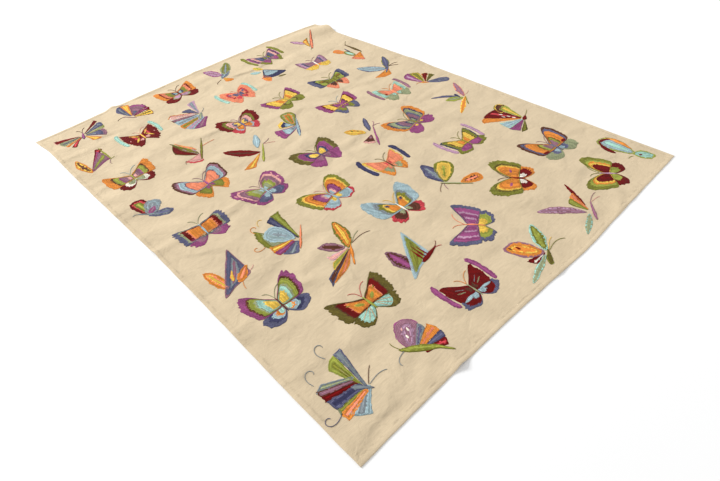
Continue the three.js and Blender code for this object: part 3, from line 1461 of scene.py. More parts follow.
@dataclass(frozen=True)
class Curl:
    """A thin line of yarn that starts at a place, runs in a direction and curls up by a turn in all."""

    x: float
    y: float
    heading: float
    reach: float
    curl: float
    yarn: Yarn
    step: float = 7
    fewest: int = 6
    tighten: float = 2.2

    def path(self) -> list[Point]:
        """Work out the line's points, with the curl growing towards its end.

        Returns:
            The points in order.
        """
        steps = max(self.fewest, round(self.reach / self.step))
        x, y, points = self.x, self.y, [(self.x, self.y)]
        for i in range(steps):
            angle = math.radians(self.heading + self.curl * ((i + 0.5) / steps) ** self.tighten)
            x += math.cos(angle) * self.reach / steps
            y += math.sin(angle) * self.reach / steps
            points.append((x, y))
        return points


@dataclass(frozen=True)
class Fan:
    """A butterfly seen from the side or in flight: wings one on another, and thin curls."""

    u: float
    v: float
    wings: tuple[Petal | Stripe, ...]
    curls: tuple[Curl, ...] = ()

    def patches(self, _: random.Random) -> list[Patch]:
        """Lay the wings, every second one a little higher, and the narrow petals on top.

        Args:
            _: not drawn from, because nothing in a fan is left to chance.

        Returns:
            The areas to sew.
        """
        made = []
        for index, wing in enumerate(self.wings):
            is_top = isinstance(wing, Petal) and wing.form is Form.SPEAR and index > 0
            made.append(wing.patch(COMMON.top_layer if is_top else index % 2))
        return made

    def threads(self) -> list[Thread]:
        """Give the curls."""
        return [Thread(curl.path(), curl.yarn) for curl in self.curls]


@dataclass(frozen=True)
class Open:
    """A butterfly with both pairs of wings spread, and its feelers on its right-hand side."""

    u: float
    v: float
    span: float
    turn: float
    fore: Wing
    hind: Wing
    body: Yarn
    feelers: Yarn = Yarn.BROWN
    flare: Yarn | None = None
    spots: tuple[Spot, ...] = ()
    veins: Yarn | None = None

    def laid(self, point: Point, side: int, lean: float) -> Point:
        """Lay a point of a wing.

        Args:
            point: its place on the right-hand wing, in shares of the half span.
            side: 1 for the right, -1 for the left.
            lean: how far the wing is turned, in degrees.

        Returns:
            The place, in millimetres.
        """
        half = self.span / 2
        x, y = turned((point[0] * half, (point[1] + COMMON.raised) * half), math.radians(lean))
        return turned((x * side, y), math.radians(self.turn))

    def on_axis(self, reach: float) -> Point:
        """Give the place on the butterfly's own axis at a distance from its centre."""
        angle = math.radians(90 + self.turn)
        return math.cos(angle) * reach, math.sin(angle) * reach

    def head(self) -> float:
        """Give how far up the axis the fore wings' upper roots are, in millimetres."""
        return (self.fore.form.value[0][1] + COMMON.raised) * self.span / 2

    def patches(self, chance: random.Random) -> list[Patch]:
        """Lay the wings, the strokes outside them, the spots and the body.

        Args:
            chance: draws how far each side's wings lean.

        Returns:
            The areas to sew.
        """
        made: list[Patch] = []
        for side in (-1, 1):
            lean = chance.uniform(-COMMON.lean, COMMON.lean)
            made.append(self.wing_patch(self.hind, side, lean, 0))
            made.append(self.wing_patch(self.fore, side, lean, 1))
            if self.flare:
                made.append(self.flare_patch(side, lean))
            made += [self.spot_patch(spot, side, lean) for spot in self.spots]
        made.append(self.body_patch())
        return made

    def wing_patch(self, wing: Wing, side: int, lean: float, layer: int) -> Patch:
        """Lay one wing, its rows nested towards the body, with a fringe of strokes for its first band.

        Args:
            wing: the wing.
            side: 1 for the right, -1 for the left.
            lean: how far it is turned, in degrees.
            layer: what it lies on.

        Returns:
            The area to sew.
        """
        corners = list(wing.form.value)
        size = wing.size * (1 + COMMON.uneven * lean)
        outline = [self.laid((x * size, y), side, lean) for x, y in smooth_loop(corners)]
        ends = ((COMMON.root, corners[0][1]), (COMMON.root, corners[-1][1]))
        spine = tuple(self.laid(between(*ends, share), side, lean) for share in COMMON.root_spine)
        return Patch(outline, spine, bands_of(wing.bands), layer, wing.tooth * COMMON.fringe_tooth, True)

    def flare_patch(self, side: int, lean: float) -> Patch:
        """Lay the ragged strokes outside a wing.

        Args:
            side: 1 for the right, -1 for the left.
            lean: how far it is turned, in degrees.

        Returns:
            The area to sew.
        """
        size, corners = self.fore.size, smooth_loop(list(Form.FLARE.value))
        outline = [self.laid((x * size, y), side, lean) for x, y in corners]
        spine = tuple(self.laid((x * size, y), side, lean) for x, y in COMMON.flare_spine)
        return Patch(outline, spine, ((self.flare, 1.0),), 0, SIZES.tooth * COMMON.fringe_tooth, True)

    def spot_patch(self, spot: Spot, side: int, lean: float) -> Patch:
        """Lay one spot on a wing.

        Args:
            spot: the spot.
            side: 1 for the right, -1 for the left.
            lean: how far the wing is turned, in degrees.

        Returns:
            The area to sew.
        """
        corners = smooth_loop(list(Form.LEAF.value), 4)
        outline = [self.laid(spot.lay(*corner), side, lean) for corner in corners]
        spine = tuple(self.laid(spot.lay(along, 0.0), side, lean) for along in (0.3, 0.7))
        return Patch(outline, spine, ((spot.yarn, 1.0),), 2, COMMON.spot_tooth)

    def body_patch(self) -> Patch:
        """Lay the body over the wings' roots.

        Returns:
            The area to sew.
        """
        low = (self.hind.form.value[-1][1] + COMMON.body_low) * self.span / 2 - COMMON.body_below
        reach = self.head() - low + COMMON.body_above
        sizes = (90 + self.turn, reach, COMMON.body_wide)
        body = Petal(*self.on_axis(low), *sizes, Form.LEAF, self.body.name, tooth=COMMON.body_tooth)
        return body.patch(COMMON.top_layer)

    def threads(self) -> list[Thread]:
        """Lay the two feelers, which lean to the right, and the veins.

        Returns:
            The lines to sew.
        """
        root = self.on_axis(self.head() + COMMON.feeler_gap)
        curls = [
            Curl(*root, 90 + self.turn + aside, self.span * reach, curl, self.feelers)
            for aside, reach, curl in COMMON.feelers
        ]
        made = [Thread(curl.path(), curl.yarn, wide=SIZES.feeler) for curl in curls]
        if self.veins:
            made += [self.vein(end, side) for end in COMMON.vein_ends for side in (-1, 1)]
        return made

    def vein(self, end: Point, side: int) -> Thread:
        """Lay one vein of a hind wing, from beside the body to near the wing's edge.

        Args:
            end: its outer end on the right-hand wing, in shares of the half span.
            side: 1 for the right, -1 for the left.

        Returns:
            The line to sew.
        """
        ends = ((COMMON.vein_root[0], end[1] * COMMON.vein_root[1]), (end[0] * self.hind.size, end[1]))
        shares = [k / COMMON.vein_steps for k in range(COMMON.vein_steps + 1)]
        path = [self.laid(between(*ends, share), side, 0.0) for share in shares]
        return Thread(path, self.veins, wide=SIZES.feeler)


BROAD, ARCHED, SQUARE, SWEPT = Form.BROAD, Form.ARCHED, Form.SQUARE, Form.SWEPT
ROUND, POINTED, WIDE = Form.ROUND, Form.POINTED, Form.WIDE
LEAF, LOBE, SPEAR, SAIL, VANE = Form.LEAF, Form.LOBE, Form.SPEAR, Form.SAIL, Form.VANE

# The butterflies, from the far end to the near one, and from left to right

ROW_1 = (
    Fan(242, 2861, (
        Stripe(-6, 2, 149, 165, 180, 168, "pink, dark_red 2", tip=0.02, bend=6),
        Stripe(-6, 0, 168, 192, 150, 138, "sage 3, slate"),
        Stripe(-6, -4, 194, 203, 132, 128, "orange"),
        Stripe(-6, -6, 204, 220, 132, 120, "dark_red 3, rose", tip=0.02, bend=10),
        Stripe(4, 8, 34, 43, 170, 176, "dark_red"),
        Stripe(6, 4, 10, 30, 150, 165, "slate 2, navy, steel"),
        Stripe(6, 0, -4, 8, 138, 146, "lime, sage"),
        Stripe(6, -4, -42, -6, 150, 130, "mauve, slate 2, steel"),
        Stripe(4, -10, -76, -50, 92, 132, "orange 2, gold"),
        Petal(-14, -44, 72, 96, 20, SPEAR, "slate, purple"),
    ), (Curl(14, 44, 70, 66, -60, Yarn.BROWN), Curl(12, 44, 96, 54, 70, Yarn.BROWN))),
    Fan(625, 2879, (
        Stripe(-42, -52, 90, 124, 190, 128, "slate 3, steel", tip=0.1, bend=-8),
        Stripe(-42, -52, 72, 90, 172, 182, "orange, gold"),
        Stripe(-42, -50, 24, 70, 146, 152, "purple, mauve 2, slate", tip=0.1),
        Stripe(-42, -52, 6, 22, 134, 138, "dark_red 3, purple"),
        Stripe(-44, -58, -30, 4, 134, 128, "dark_red, gold 2, moss", tip=0.04),
        Petal(-96, -24, -42, 92, 12, SPEAR, "mauve"),
    ), (Curl(-92, -26, 160, 52, 80, Yarn.BROWN),)),
    Open(
        962, 2869, 284, 0, Wing(BROAD, "orange 2, dark_red 0.8, coral, olive 2, navy 0.8, sky"),
        Wing(ROUND, "dark_red 3, sage, lilac 2"), Yarn.DARK_RED,
    ),
    Fan(1338, 2856, (
        Petal(-14, -16, 117, 162, 82, VANE, "purple, lilac 2, mauve", tooth=4),
        Petal(0, -18, 52, 196, 80, VANE, "sage 2, olive 2, steel", tooth=4),
        Petal(-46, -52, 38, 122, 62, LOBE, "steel 2, slate, sky"),
        Stripe(-32, -42, 252, 300, 70, 92, "orange 2, gold"),
    ), (Curl(-58, -58, 204, 84, 40, Yarn.BROWN),)),
    Open(
        1718, 2823, 262, 4,
        Wing(BROAD, "purple, navy 0.8, pink 1.4, slate 2, navy 0.7, olive", 0.92),
        Wing(POINTED, "olive 2, purple 2, mauve", 0.86), Yarn.SLATE, feelers=Yarn.OLIVE,
        flare=Yarn.OLIVE,
    ),
    Fan(2132, 2810, (
        Petal(-56, -38, 118, 148, 46, LEAF, "mauve 2, lilac"),
        Stripe(-78, -104, 60, 86, 170, 100, "olive, orange 2, gold"),
        Petal(-84, -132, 53, 322, 26, SPEAR, "dark_red, coral 2"),
    ), (Curl(-60, -112, 200, 66, 60, Yarn.SAGE),)),
)
ROW_2 = (
    Fan(175, 2514, (
        Petal(-74, -108, 97, 204, 60, LEAF, "orange 3, gold, brown", bulge=0.05),
        Stripe(-78, -106, 24, 58, 158, 230, "purple, mauve 2, lime", tip=0),
        Stripe(-80, -110, 53, 61, 272, 262, "dark_red, rose", tip=0),
        Petal(72, -52, 91, 182, 17, SPEAR, "lime, olive"),
    ), (Curl(70, -52, 236, 62, 60, Yarn.MAUVE), Curl(70, -50, 0, 34, 60, Yarn.LIME))),
    Open(
        508, 2550, 264, 3, Wing(BROAD, "dark_red 4, rose, dark_red 2", 0.84, 5),
        Wing(POINTED, "dark_red 4, pink", 0.84, 5), Yarn.GOLD, feelers=Yarn.PINK, flare=Yarn.AQUA,
        spots=(Spot(0.34, 0.2, 0.62, 0.12, 50, Yarn.GOLD), Spot(0.32, -0.26, 0.5, 0.12, -56, Yarn.GOLD),
        Spot(0.64, -0.1, 0.14, 0.11, 100, Yarn.PINK)),
    ),
    Fan(842, 2514, (
        Stripe(66, -14, 74, 92, 205, 178, "lilac 2, steel 2", tip=0, bend=-4),
        Stripe(64, -14, 96, 122, 110, 142, "navy, slate 2", tip=0),
        *wedges(
            130, -30, (145, 153, 262, 276, "orange, brown, pink"),
            (153, 160, 272, 258, "cream, pink"), (160, 168, 262, 246, "brown, mauve"), tip=0,
            inner=0.34,
        ),
        *wedges(
            130, -30, (169, 184, 244, 232, "sky 2, steel"), (185, 198, 240, 246, "orange 2, olive"),
            (199, 212, 242, 234, "sky 2, lilac"), tip=0.02, inner=0.34,
        ),
        Stripe(122, -28, 214, 232, 224, 190, "purple 2, mauve", tip=0.04, inner=0.34),
        Petal(22, -88, 56, 104, 34, SPEAR, "sky, steel, sage"),
    ), (Curl(84, -2, 34, 60, 50, Yarn.STEEL),)),
    Open(
        1232, 2507, 256, 0, Wing(ARCHED, "coral 3, rose, coral 2, slate 2", 0.84),
        Wing(POINTED, "coral 3, rose 2", 0.84), Yarn.SLATE, feelers=Yarn.CORAL, flare=Yarn.AQUA,
        spots=(Spot(0.42, 0.24, 0.34, 0.2, 58, Yarn.SLATE),
        Spot(0.4, -0.2, 0.26, 0.14, -30, Yarn.DARK_RED)),
    ),
    Fan(1558, 2608, (
        Petal(16, 82, 118, 84, 46, LEAF, "gold 2, lime"),
        Petal(-20, 58, 150, 82, 38, LEAF, "aqua 2, sky"),
        Petal(-38, 4, 262, 116, 62, LEAF, "coral, orange 3"),
        Stripe(14, 84, 236, 306, 138, 184, "navy 3, sky 3, steel", tip=0.02),
        Petal(22, -96, -16, 62, 26, LEAF, "moss"),
    ), (Curl(-48, -18, 190, 40, 60, Yarn.CORAL),)),
    Open(
        1888, 2464, 262, -3, Wing(BROAD, "mauve, lilac, slate 0.8, mauve 3", 0.9),
        Wing(WIDE, "gold 4, orange", 0.86, 5), Yarn.CREAM, feelers=Yarn.MAUVE,
        spots=(Spot(0.6, 0.3, 0.34, 0.05, 52, Yarn.SLATE),),
    ),
    Fan(2182, 2388, (
        Petal(-28, 10, 112, 116, 62, LOBE, "orange 2, coral, orange"),
        Petal(-14, -70, 96, 116, 58, LEAF, "olive 2, sage, aqua"),
        Stripe(56, -50, 196, 240, 128, 142, "coral, orange 2", tip=0),
        Petal(-2, -10, 82, 92, 14, SPEAR, "navy"),
        Petal(60, -56, 89, 198, 22, SPEAR, "brown, moss"),
    ), (Curl(72, 132, 60, 62, -50, Yarn.MOSS), Curl(66, -52, 210, 52, 60, Yarn.LIME))),
)
ROW_3 = (
    Open(
        250, 2177, 300, 3,
        Wing(BROAD, "orange 3, brown 0.7, lime 1.6, purple 0.8, mauve 2, pink", 1, 5),
        Wing(ROUND, "dark_red 2, cream, sage 2", 0.8), Yarn.LIME, feelers=Yarn.SKY,
    ),
    Fan(618, 2160, (
        Stripe(24, -88, 112, 140, 226, 150, "moss, dark_red 3", tip=0, bend=-6),
        Stripe(26, -88, 84, 114, 112, 148, "olive, lilac, lime"),
        Stripe(30, -74, 196, 256, 112, 92, "rose, pink 3", tip=0.02),
        Petal(40, -26, 112, 176, 22, SPEAR, "gold, coral 2"),
        Petal(26, -66, 108, 236, 24, SPEAR, "moss, olive"),
        Petal(6, -142, 60, 250, 17, SPEAR, "brown, olive"),
    ), (Curl(84, -16, 8, 92, -16, Yarn.CORAL), Curl(-70, -92, 226, 40, 60, Yarn.BROWN))),
    Open(
        1018, 2177, 282, -2,
        Wing(ARCHED, "dark_red 3, olive, brown 0.6, pink 2, slate 0.7, gold 2", 0.98, 6),
        Wing(POINTED, "rose 2, sky, orange 2", 0.84), Yarn.SLATE, feelers=Yarn.PURPLE,
        spots=(Spot(0.28, -0.02, 0.28, 0.22, 10, Yarn.SLATE),),
    ),
    Open(
        1400, 2198, 292, 16, Wing(BROAD, "purple 2, brown 0.6, gold 3, orange 2, gold", 1, 6),
        Wing(ROUND, "olive 3, moss, lime 2", 0.84), Yarn.LIME, feelers=Yarn.OLIVE,
    ),
    Open(
        1792, 2152, 296, 0, Wing(BROAD, "slate 2, navy 0.8, lime 2.4, moss 0.7, olive 2", 1, 5),
        Wing(POINTED, "coral 2, brown 2", 0.66), Yarn.OLIVE, feelers=Yarn.OLIVE,
        spots=(Spot(0.5, 0.16, 0.32, 0.26, 30, Yarn.MOSS), Spot(0.5, 0.16, 0.18, 0.16, 30, Yarn.ORANGE)),
    ),
    Fan(2142, 2018, (
        Petal(14, -46, 128, 222, 80, LEAF, "slate 2, sky 3, steel", bulge=0.04),
        Petal(10, -44, 54, 206, 54, LEAF, "olive, slate 2", bulge=-0.04),
        Stripe(24, -44, 194, 240, 166, 96, "orange 3, gold", tip=0),
        Petal(-34, -84, 36, 108, 16, SPEAR, "slate"),
    ), (Curl(50, -26, 12, 84, -60, Yarn.BROWN), Curl(50, -30, -20, 68, -50, Yarn.BROWN))),
)
ROW_4 = (
    Fan(182, 1841, (
        Petal(-30, -62, 95, 178, 96, LOBE, "dark_red 3, rose, olive 2, lime", tooth=4),
        Petal(-42, -72, 54, 148, 98, LOBE, "steel 2, sky, steel 2", tooth=5),
        Petal(-50, -60, -24, 142, 62, LOBE, "slate 2, steel, slate", tooth=4),
        Petal(-34, -52, 34, 70, 40, SPEAR, "purple, mauve"),
        Petal(-84, -14, -42, 150, 12, SPEAR, "steel"),
    ), (Curl(-78, -18, 150, 42, 60, Yarn.STEEL),)),
    Open(
        512, 1790, 306, 2, Wing(SWEPT, "brown, mauve, sky 1.6, slate 0.6, coral 5", 1, 3),
        Wing(POINTED, "orange 2, olive 3, purple", 0.84), Yarn.PURPLE, feelers=Yarn.MAUVE,
    ),
    Fan(875, 1848, (
        Petal(30, -42, 134, 232, 74, VANE, "dark_red 4, brown", bulge=0.06, tooth=6),
        Petal(40, 6, 61, 160, 46, LEAF, "sky 2, slate, sky"),
        Stripe(26, -42, 205, 224, 190, 150, "orange 2, gold", tip=0.02),
        Petal(-18, -136, 56, 200, 17, SPEAR, "olive, lime"),
    ), (Curl(92, 22, 12, 66, 30, Yarn.MAUVE), Curl(92, 18, -24, 74, -20, Yarn.PINK))),
    Fan(1208, 1907, (
        Petal(14, -26, 70, 188, 96, LOBE, "olive 2, sage, orange, olive"),
        Stripe(22, -36, 108, 146, 118, 110, "gold, navy, sky 2", tip=0.04),
        Stripe(50, -52, 158, 196, 176, 172, "purple 2, sky 2, steel", tip=0.02),
        Petal(-34, -142, 58, 226, 24, SPEAR, "slate, navy, sky"),
    ), (Curl(78, 46, 40, 58, 50, Yarn.SLATE),)),
    Open(
        1600, 1856, 284, 3,
        Wing(BROAD, "purple 2, dark_red 0.6, gold 2.4, brown 0.6, purple 2", 1, 5),
        Wing(POINTED, "slate 2, olive 2, purple", 0.78), Yarn.PURPLE, feelers=Yarn.SKY,
        spots=(Spot(0.42, 0.02, 0.16, 0.12, 20, Yarn.GOLD),),
    ),
    Open(
        1942, 1704, 262, -3, Wing(BROAD, "aqua 2, sage 0.7, coral 5", 0.82),
        Wing(POINTED, "sage 3, aqua", 0.88), Yarn.CORAL, feelers=Yarn.ORANGE, flare=Yarn.MAUVE,
        spots=(Spot(0.5, -0.1, 0.14, 0.12, 80, Yarn.DARK_RED),),
    ),
    Fan(2225, 1663, (
        Stripe(-62, -42, 84, 112, 176, 150, "purple 3, lilac", tip=0.1, bend=-4),
        Stripe(-58, -44, 58, 84, 150, 170, "olive, gold, olive 2", tip=0.04),
        Stripe(-54, -46, 36, 56, 138, 130, "orange, dark_red 3", tip=0.02),
        Stripe(-50, -46, 14, 34, 116, 122, "olive, moss"),
        Petal(-42, -48, -34, 158, 66, LOBE, "slate 2, steel, slate"),
        Petal(-76, -22, -48, 60, 12, SPEAR, "orange"),
    ), (Curl(-72, -24, 150, 44, 60, Yarn.ORANGE),)),
)
ROW_5 = (
    Open(
        282, 1461, 292, 0, Wing(SQUARE, "slate 3, sage, dark_red 2, coral 0.6, orange 5", 1, 6),
        Wing(ROUND, "purple 2, mauve 2, sage", 0.84, 5), Yarn.SKY, feelers=Yarn.SAGE,
    ),
    Open(
        692, 1486, 300, 8, Wing(ARCHED, "purple 2, pink, mauve 2, lime 2, sage 2, sky", 1, 5),
        Wing(WIDE, "purple, slate 2, sky", 0.78), Yarn.SKY, feelers=Yarn.MAUVE,
        spots=(Spot(0.9, 0.48, 0.2, 0.09, 80, Yarn.PINK), Spot(0.9, 0.14, 0.18, 0.08, 100, Yarn.PINK),
        Spot(0.5, 0.32, 0.2, 0.1, 30, Yarn.PURPLE)),
    ),
    Open(
        1118, 1519, 292, 2,
        Wing(ARCHED, "moss 2.4, olive 0.6, purple 2, navy 0.8, slate, gold 2", 1, 6),
        Wing(POINTED, "purple 4, mauve 2", 0.88), Yarn.SLATE, feelers=Yarn.OLIVE,
        spots=(Spot(0.28, 0.04, 0.46, 0.2, 82, Yarn.GOLD), Spot(0.86, 0.4, 0.2, 0.1, 80, Yarn.OLIVE)),
    ),
    Fan(1458, 1476, (
        Petal(-2, -6, 126, 138, 70, LEAF, "gold 2, orange, gold 2"),
        Petal(26, -12, 60, 172, 38, LEAF, "navy, slate 2"),
        Stripe(14, -38, 196, 240, 110, 104, "pink, brown 2, mauve", tip=0),
        Petal(-40, -160, 56, 222, 16, SPEAR, "mauve, purple"),
        Petal(-42, 62, 100, 26, 16, LEAF, "moss"),
        Petal(-20, 36, 100, 22, 14, LEAF, "moss"),
    ), (Curl(84, 22, 30, 58, 60, Yarn.PURPLE), Curl(82, 18, 4, 54, -60, Yarn.PURPLE))),
    Open(
        1742, 1342, 300, 15,
        Wing(SWEPT, "orange 2, navy 0.8, sage 1.4, slate, mauve 2, navy 0.7, sage", 1, 5),
        Wing(ROUND, "purple 4, mauve", 0.84, 5), Yarn.OLIVE, feelers=Yarn.OLIVE,
        spots=(Spot(0.2, -0.34, 0.18, 0.15, 10, Yarn.GOLD),),
    ),
    Fan(2158, 1317, (
        Petal(8, -4, 138, 188, 28, LEAF, "navy, slate 2", bulge=-0.06),
        Petal(10, -28, 150, 122, 58, LEAF, "lime 2, sage"),
        Petal(26, -22, 60, 196, 46, LEAF, "coral, mauve 2"),
        Petal(-6, -22, 78, 72, 26, LEAF, "navy"),
        Petal(34, -28, 212, 226, 34, LEAF, "gold, orange 2"),
        Petal(-36, -108, 50, 112, 10, SPEAR, "olive"),
    ), (Curl(44, -14, 6, 66, 50, Yarn.PINK),)),
)
ROW_6 = (
    Fan(192, 1096, (
        Petal(-50, -86, 104, 182, 72, VANE, "orange 3, coral, gold", tooth=6),
        Petal(-100, -120, 54, 326, 258, SAIL, "mauve, slate 3, steel, mauve", tooth=3),
        Petal(8, -80, 38, 112, 50, SPEAR, "orange 3, coral", tooth=6),
        Petal(-16, -60, 62, 76, 22, SPEAR, "orange 2, gold", tooth=4),
    ), (Curl(24, -78, 242, 66, 30, Yarn.ORANGE), Curl(84, -56, 20, 40, 40, Yarn.PINK))),
    Fan(525, 1139, (
        Stripe(46, -98, 122, 162, 240, 146, "olive, sage 2, lime", tip=0, tooth=9),
        Stripe(50, -122, 90, 100, 262, 232, "navy 2, slate", tip=0),
        Stripe(52, -122, 80, 90, 270, 262, "olive 2, lime", tip=0),
        Petal(34, -92, 117, 170, 108, LOBE, "sky 5, steel", tooth=4),
        *wedges(
            66, -98, (163, 178, 166, 164, "orange 2, gold"), (178, 192, 164, 152, "rose, purple 2"),
            tip=0.02, inner=0.3,
        ),
        Stripe(62, -96, 194, 228, 142, 112, "slate 2, steel", tip=0, tooth=5, inner=0.3),
        Petal(4, -168, 51, 188, 16, SPEAR, "orange, coral"),
    ), (Curl(-78, 84, 112, 96, -250, Yarn.ORANGE), Curl(-104, -28, 196, 96, -260, Yarn.ORANGE),
        Curl(-36, 118, 84, 70, -190, Yarn.GOLD))),
    Open(
        908, 1182, 300, 11,
        Wing(ARCHED, "olive 2, gold 0.7, orange 2, dark_red 0.7, purple 2, pink, sky", 1, 5),
        Wing(WIDE, "rose, sky 3, gold", 0.8), Yarn.SKY, feelers=Yarn.PINK,
    ),
    Open(
        1318, 1147, 262, 0, Wing(BROAD, "gold, coral 6, rose", 0.86),
        Wing(POINTED, "orange 2, sage 2, coral", 0.8), Yarn.BROWN, feelers=Yarn.MOSS,
        flare=Yarn.NAVY,
    ),
    Open(
        1768, 962, 264, 2, Wing(BROAD, "navy, olive 1.4, brown 0.6, gold 3, orange 2", 0.86),
        Wing(WIDE, "olive 2, purple 4", 0.96, 5), Yarn.OLIVE, feelers=Yarn.OLIVE, flare=Yarn.LILAC,
    ),
    Fan(2158, 911, (
        Petal(-2, 70, 42, 116, 84, LOBE, "olive, gold, brown 3"),
        Stripe(38, -66, 72, 94, 186, 172, "lime 2, gold"),
        Stripe(36, -66, 96, 130, 190, 240, "dark_red 4, rose", tip=0.02),
        Stripe(36, -66, 131, 143, 236, 252, "orange"),
        Stripe(34, -68, 150, 180, 160, 142, "aqua, sky 3", tip=0),
        Stripe(34, -70, 181, 206, 152, 142, "slate, purple 3", tip=0),
        Stripe(36, -74, 207, 222, 156, 120, "moss, olive", tip=0),
        Petal(22, -82, 30, 62, 28, SPEAR, "dark_red"),
        Petal(2, 2, 112, 28, 9, SPEAR, "cream"),
        Petal(-24, 22, 112, 28, 9, SPEAR, "cream"),
        Petal(-12, 52, 112, 28, 9, SPEAR, "cream"),
        Petal(10, -28, 112, 26, 9, SPEAR, "cream"),
    ), (Curl(70, -52, 20, 70, 20, Yarn.OLIVE),)),
)
ROW_7 = (
    Open(
        250, 777, 294, 0,
        Wing(SWEPT, "purple 2, brown 0.7, lime 1.6, sage 0.7, aqua 1.6, gold 3", 1, 6),
        Wing(WIDE, "slate 2, navy, sky, orange, aqua", 0.86), Yarn.BROWN, feelers=Yarn.SAGE,
    ),
    Fan(682, 853, (
        Petal(4, -34, 135, 136, 70, VANE, "mauve 2, brown 2", tooth=7),
        Petal(12, -50, 71, 218, 74, LEAF, "olive 2, orange 3, gold", bulge=-0.05, tooth=5),
        Stripe(22, -44, 170, 188, 130, 126, "lilac, pink 2", tip=0),
        Stripe(20, -46, 190, 202, 132, 176, "gold, lime", tip=0),
        Stripe(22, -46, 202, 209, 226, 262, "slate, brown", tip=0),
        Stripe(24, -46, 210, 224, 250, 116, "orange 2, coral", tip=0),
        Petal(-46, -148, 56, 158, 16, SPEAR, "orange"),
    ), (Curl(44, -32, 12, 124, -44, Yarn.BROWN), Curl(44, -30, 36, 92, -30, Yarn.SAGE))),
    Open(
        1082, 836, 302, 0, Wing(SWEPT, "sky 3, steel, olive, gold 0.7, orange 2.4", 1, 4),
        Wing(ROUND, "rose, brown 2, sage", 0.72, 5), Yarn.CREAM, feelers=Yarn.GOLD,
        spots=(Spot(0.34, 0.24, 0.22, 0.16, 50, Yarn.NAVY), Spot(0.58, 0.3, 0.18, 0.16, 70, Yarn.OLIVE)),
    ),
    Fan(1450, 836, (
        Petal(-62, -34, 80, 192, 90, LEAF, "slate, navy, slate 2, steel"),
        Petal(-58, -42, 44, 194, 112, LOBE, "olive 2, gold 4, lime"),
        Petal(-8, -106, -18, 136, 78, LOBE, "orange 3, brown, coral"),
        Petal(-26, -10, 44, 92, 18, SPEAR, "lime, olive"),
        Petal(-84, -28, -50, 176, 16, SPEAR, "olive, sage"),
    ), (Curl(-74, -34, 206, 84, 30, Yarn.BROWN), Curl(-70, -38, 236, 66, 30, Yarn.MAUVE))),
)
ROW_8 = (
    Open(
        518, 499, 302, 2, Wing(BROAD, "moss 3, brown 0.6, dark_red 2, coral 0.6, orange 5", 1, 6),
        Wing(ROUND, "moss 2, aqua 4", 0.84, 6), Yarn.LIME, feelers=Yarn.ROSE,
        spots=(Spot(0.26, 0.02, 0.34, 0.16, 40, Yarn.LIME), Spot(0.52, 0.22, 0.16, 0.06, 30, Yarn.OLIVE)),
        veins=Yarn.ORANGE,
    ),
    Fan(858, 557, (
        Petal(-58, -84, 94, 184, 82, LEAF, "mauve 2, brown, purple 2", tooth=6),
        Petal(-102, -116, 54, 318, 226, SAIL, "sky 2, lime 2, olive", tooth=3),
        Petal(16, -66, 88, 96, 13, SPEAR, "dark_red"),
        Petal(34, -68, 88, 116, 13, SPEAR, "dark_red"),
        Petal(53, -66, 91, 88, 13, SPEAR, "dark_red"),
        Petal(0, -74, 13, 128, 28, SPEAR, "dark_red"),
    ), (Curl(110, -46, 24, 46, 40, Yarn.DARK_RED), Curl(108, -50, -10, 40, -40, Yarn.ROSE))),
    Open(
        1208, 473, 306, 38,
        Wing(BROAD, "slate 2, purple 2, lilac, purple 2, lilac, purple 2", 1, 5),
        Wing(WIDE, "slate 2, lime 2, gold 3", 0.8, 5), Yarn.CORAL, feelers=Yarn.CORAL,
    ),
    Open(
        1658, 539, 300, 38, Wing(ARCHED, "olive 2.4, moss 0.6, gold 0.7, orange 6", 1, 5),
        Wing(ROUND, "orange 2, dark_red 3, cream 2", 0.74, 5), Yarn.DARK_RED, feelers=Yarn.BROWN,
        spots=(Spot(0.4, 0.06, 0.26, 0.12, 10, Yarn.PURPLE),),
    ),
    Open(
        2050, 549, 296, 0,
        Wing(SWEPT, "brown 1.4, slate 0.7, orange 3, moss 0.6, lime, mauve 2", 1, 4),
        Wing(WIDE, "sage 3, slate, sky", 0.86), Yarn.SLATE, feelers=Yarn.MAUVE,
        spots=(Spot(0.58, -0.14, 0.34, 0.16, 8, Yarn.DARK_RED),),
    ),
)
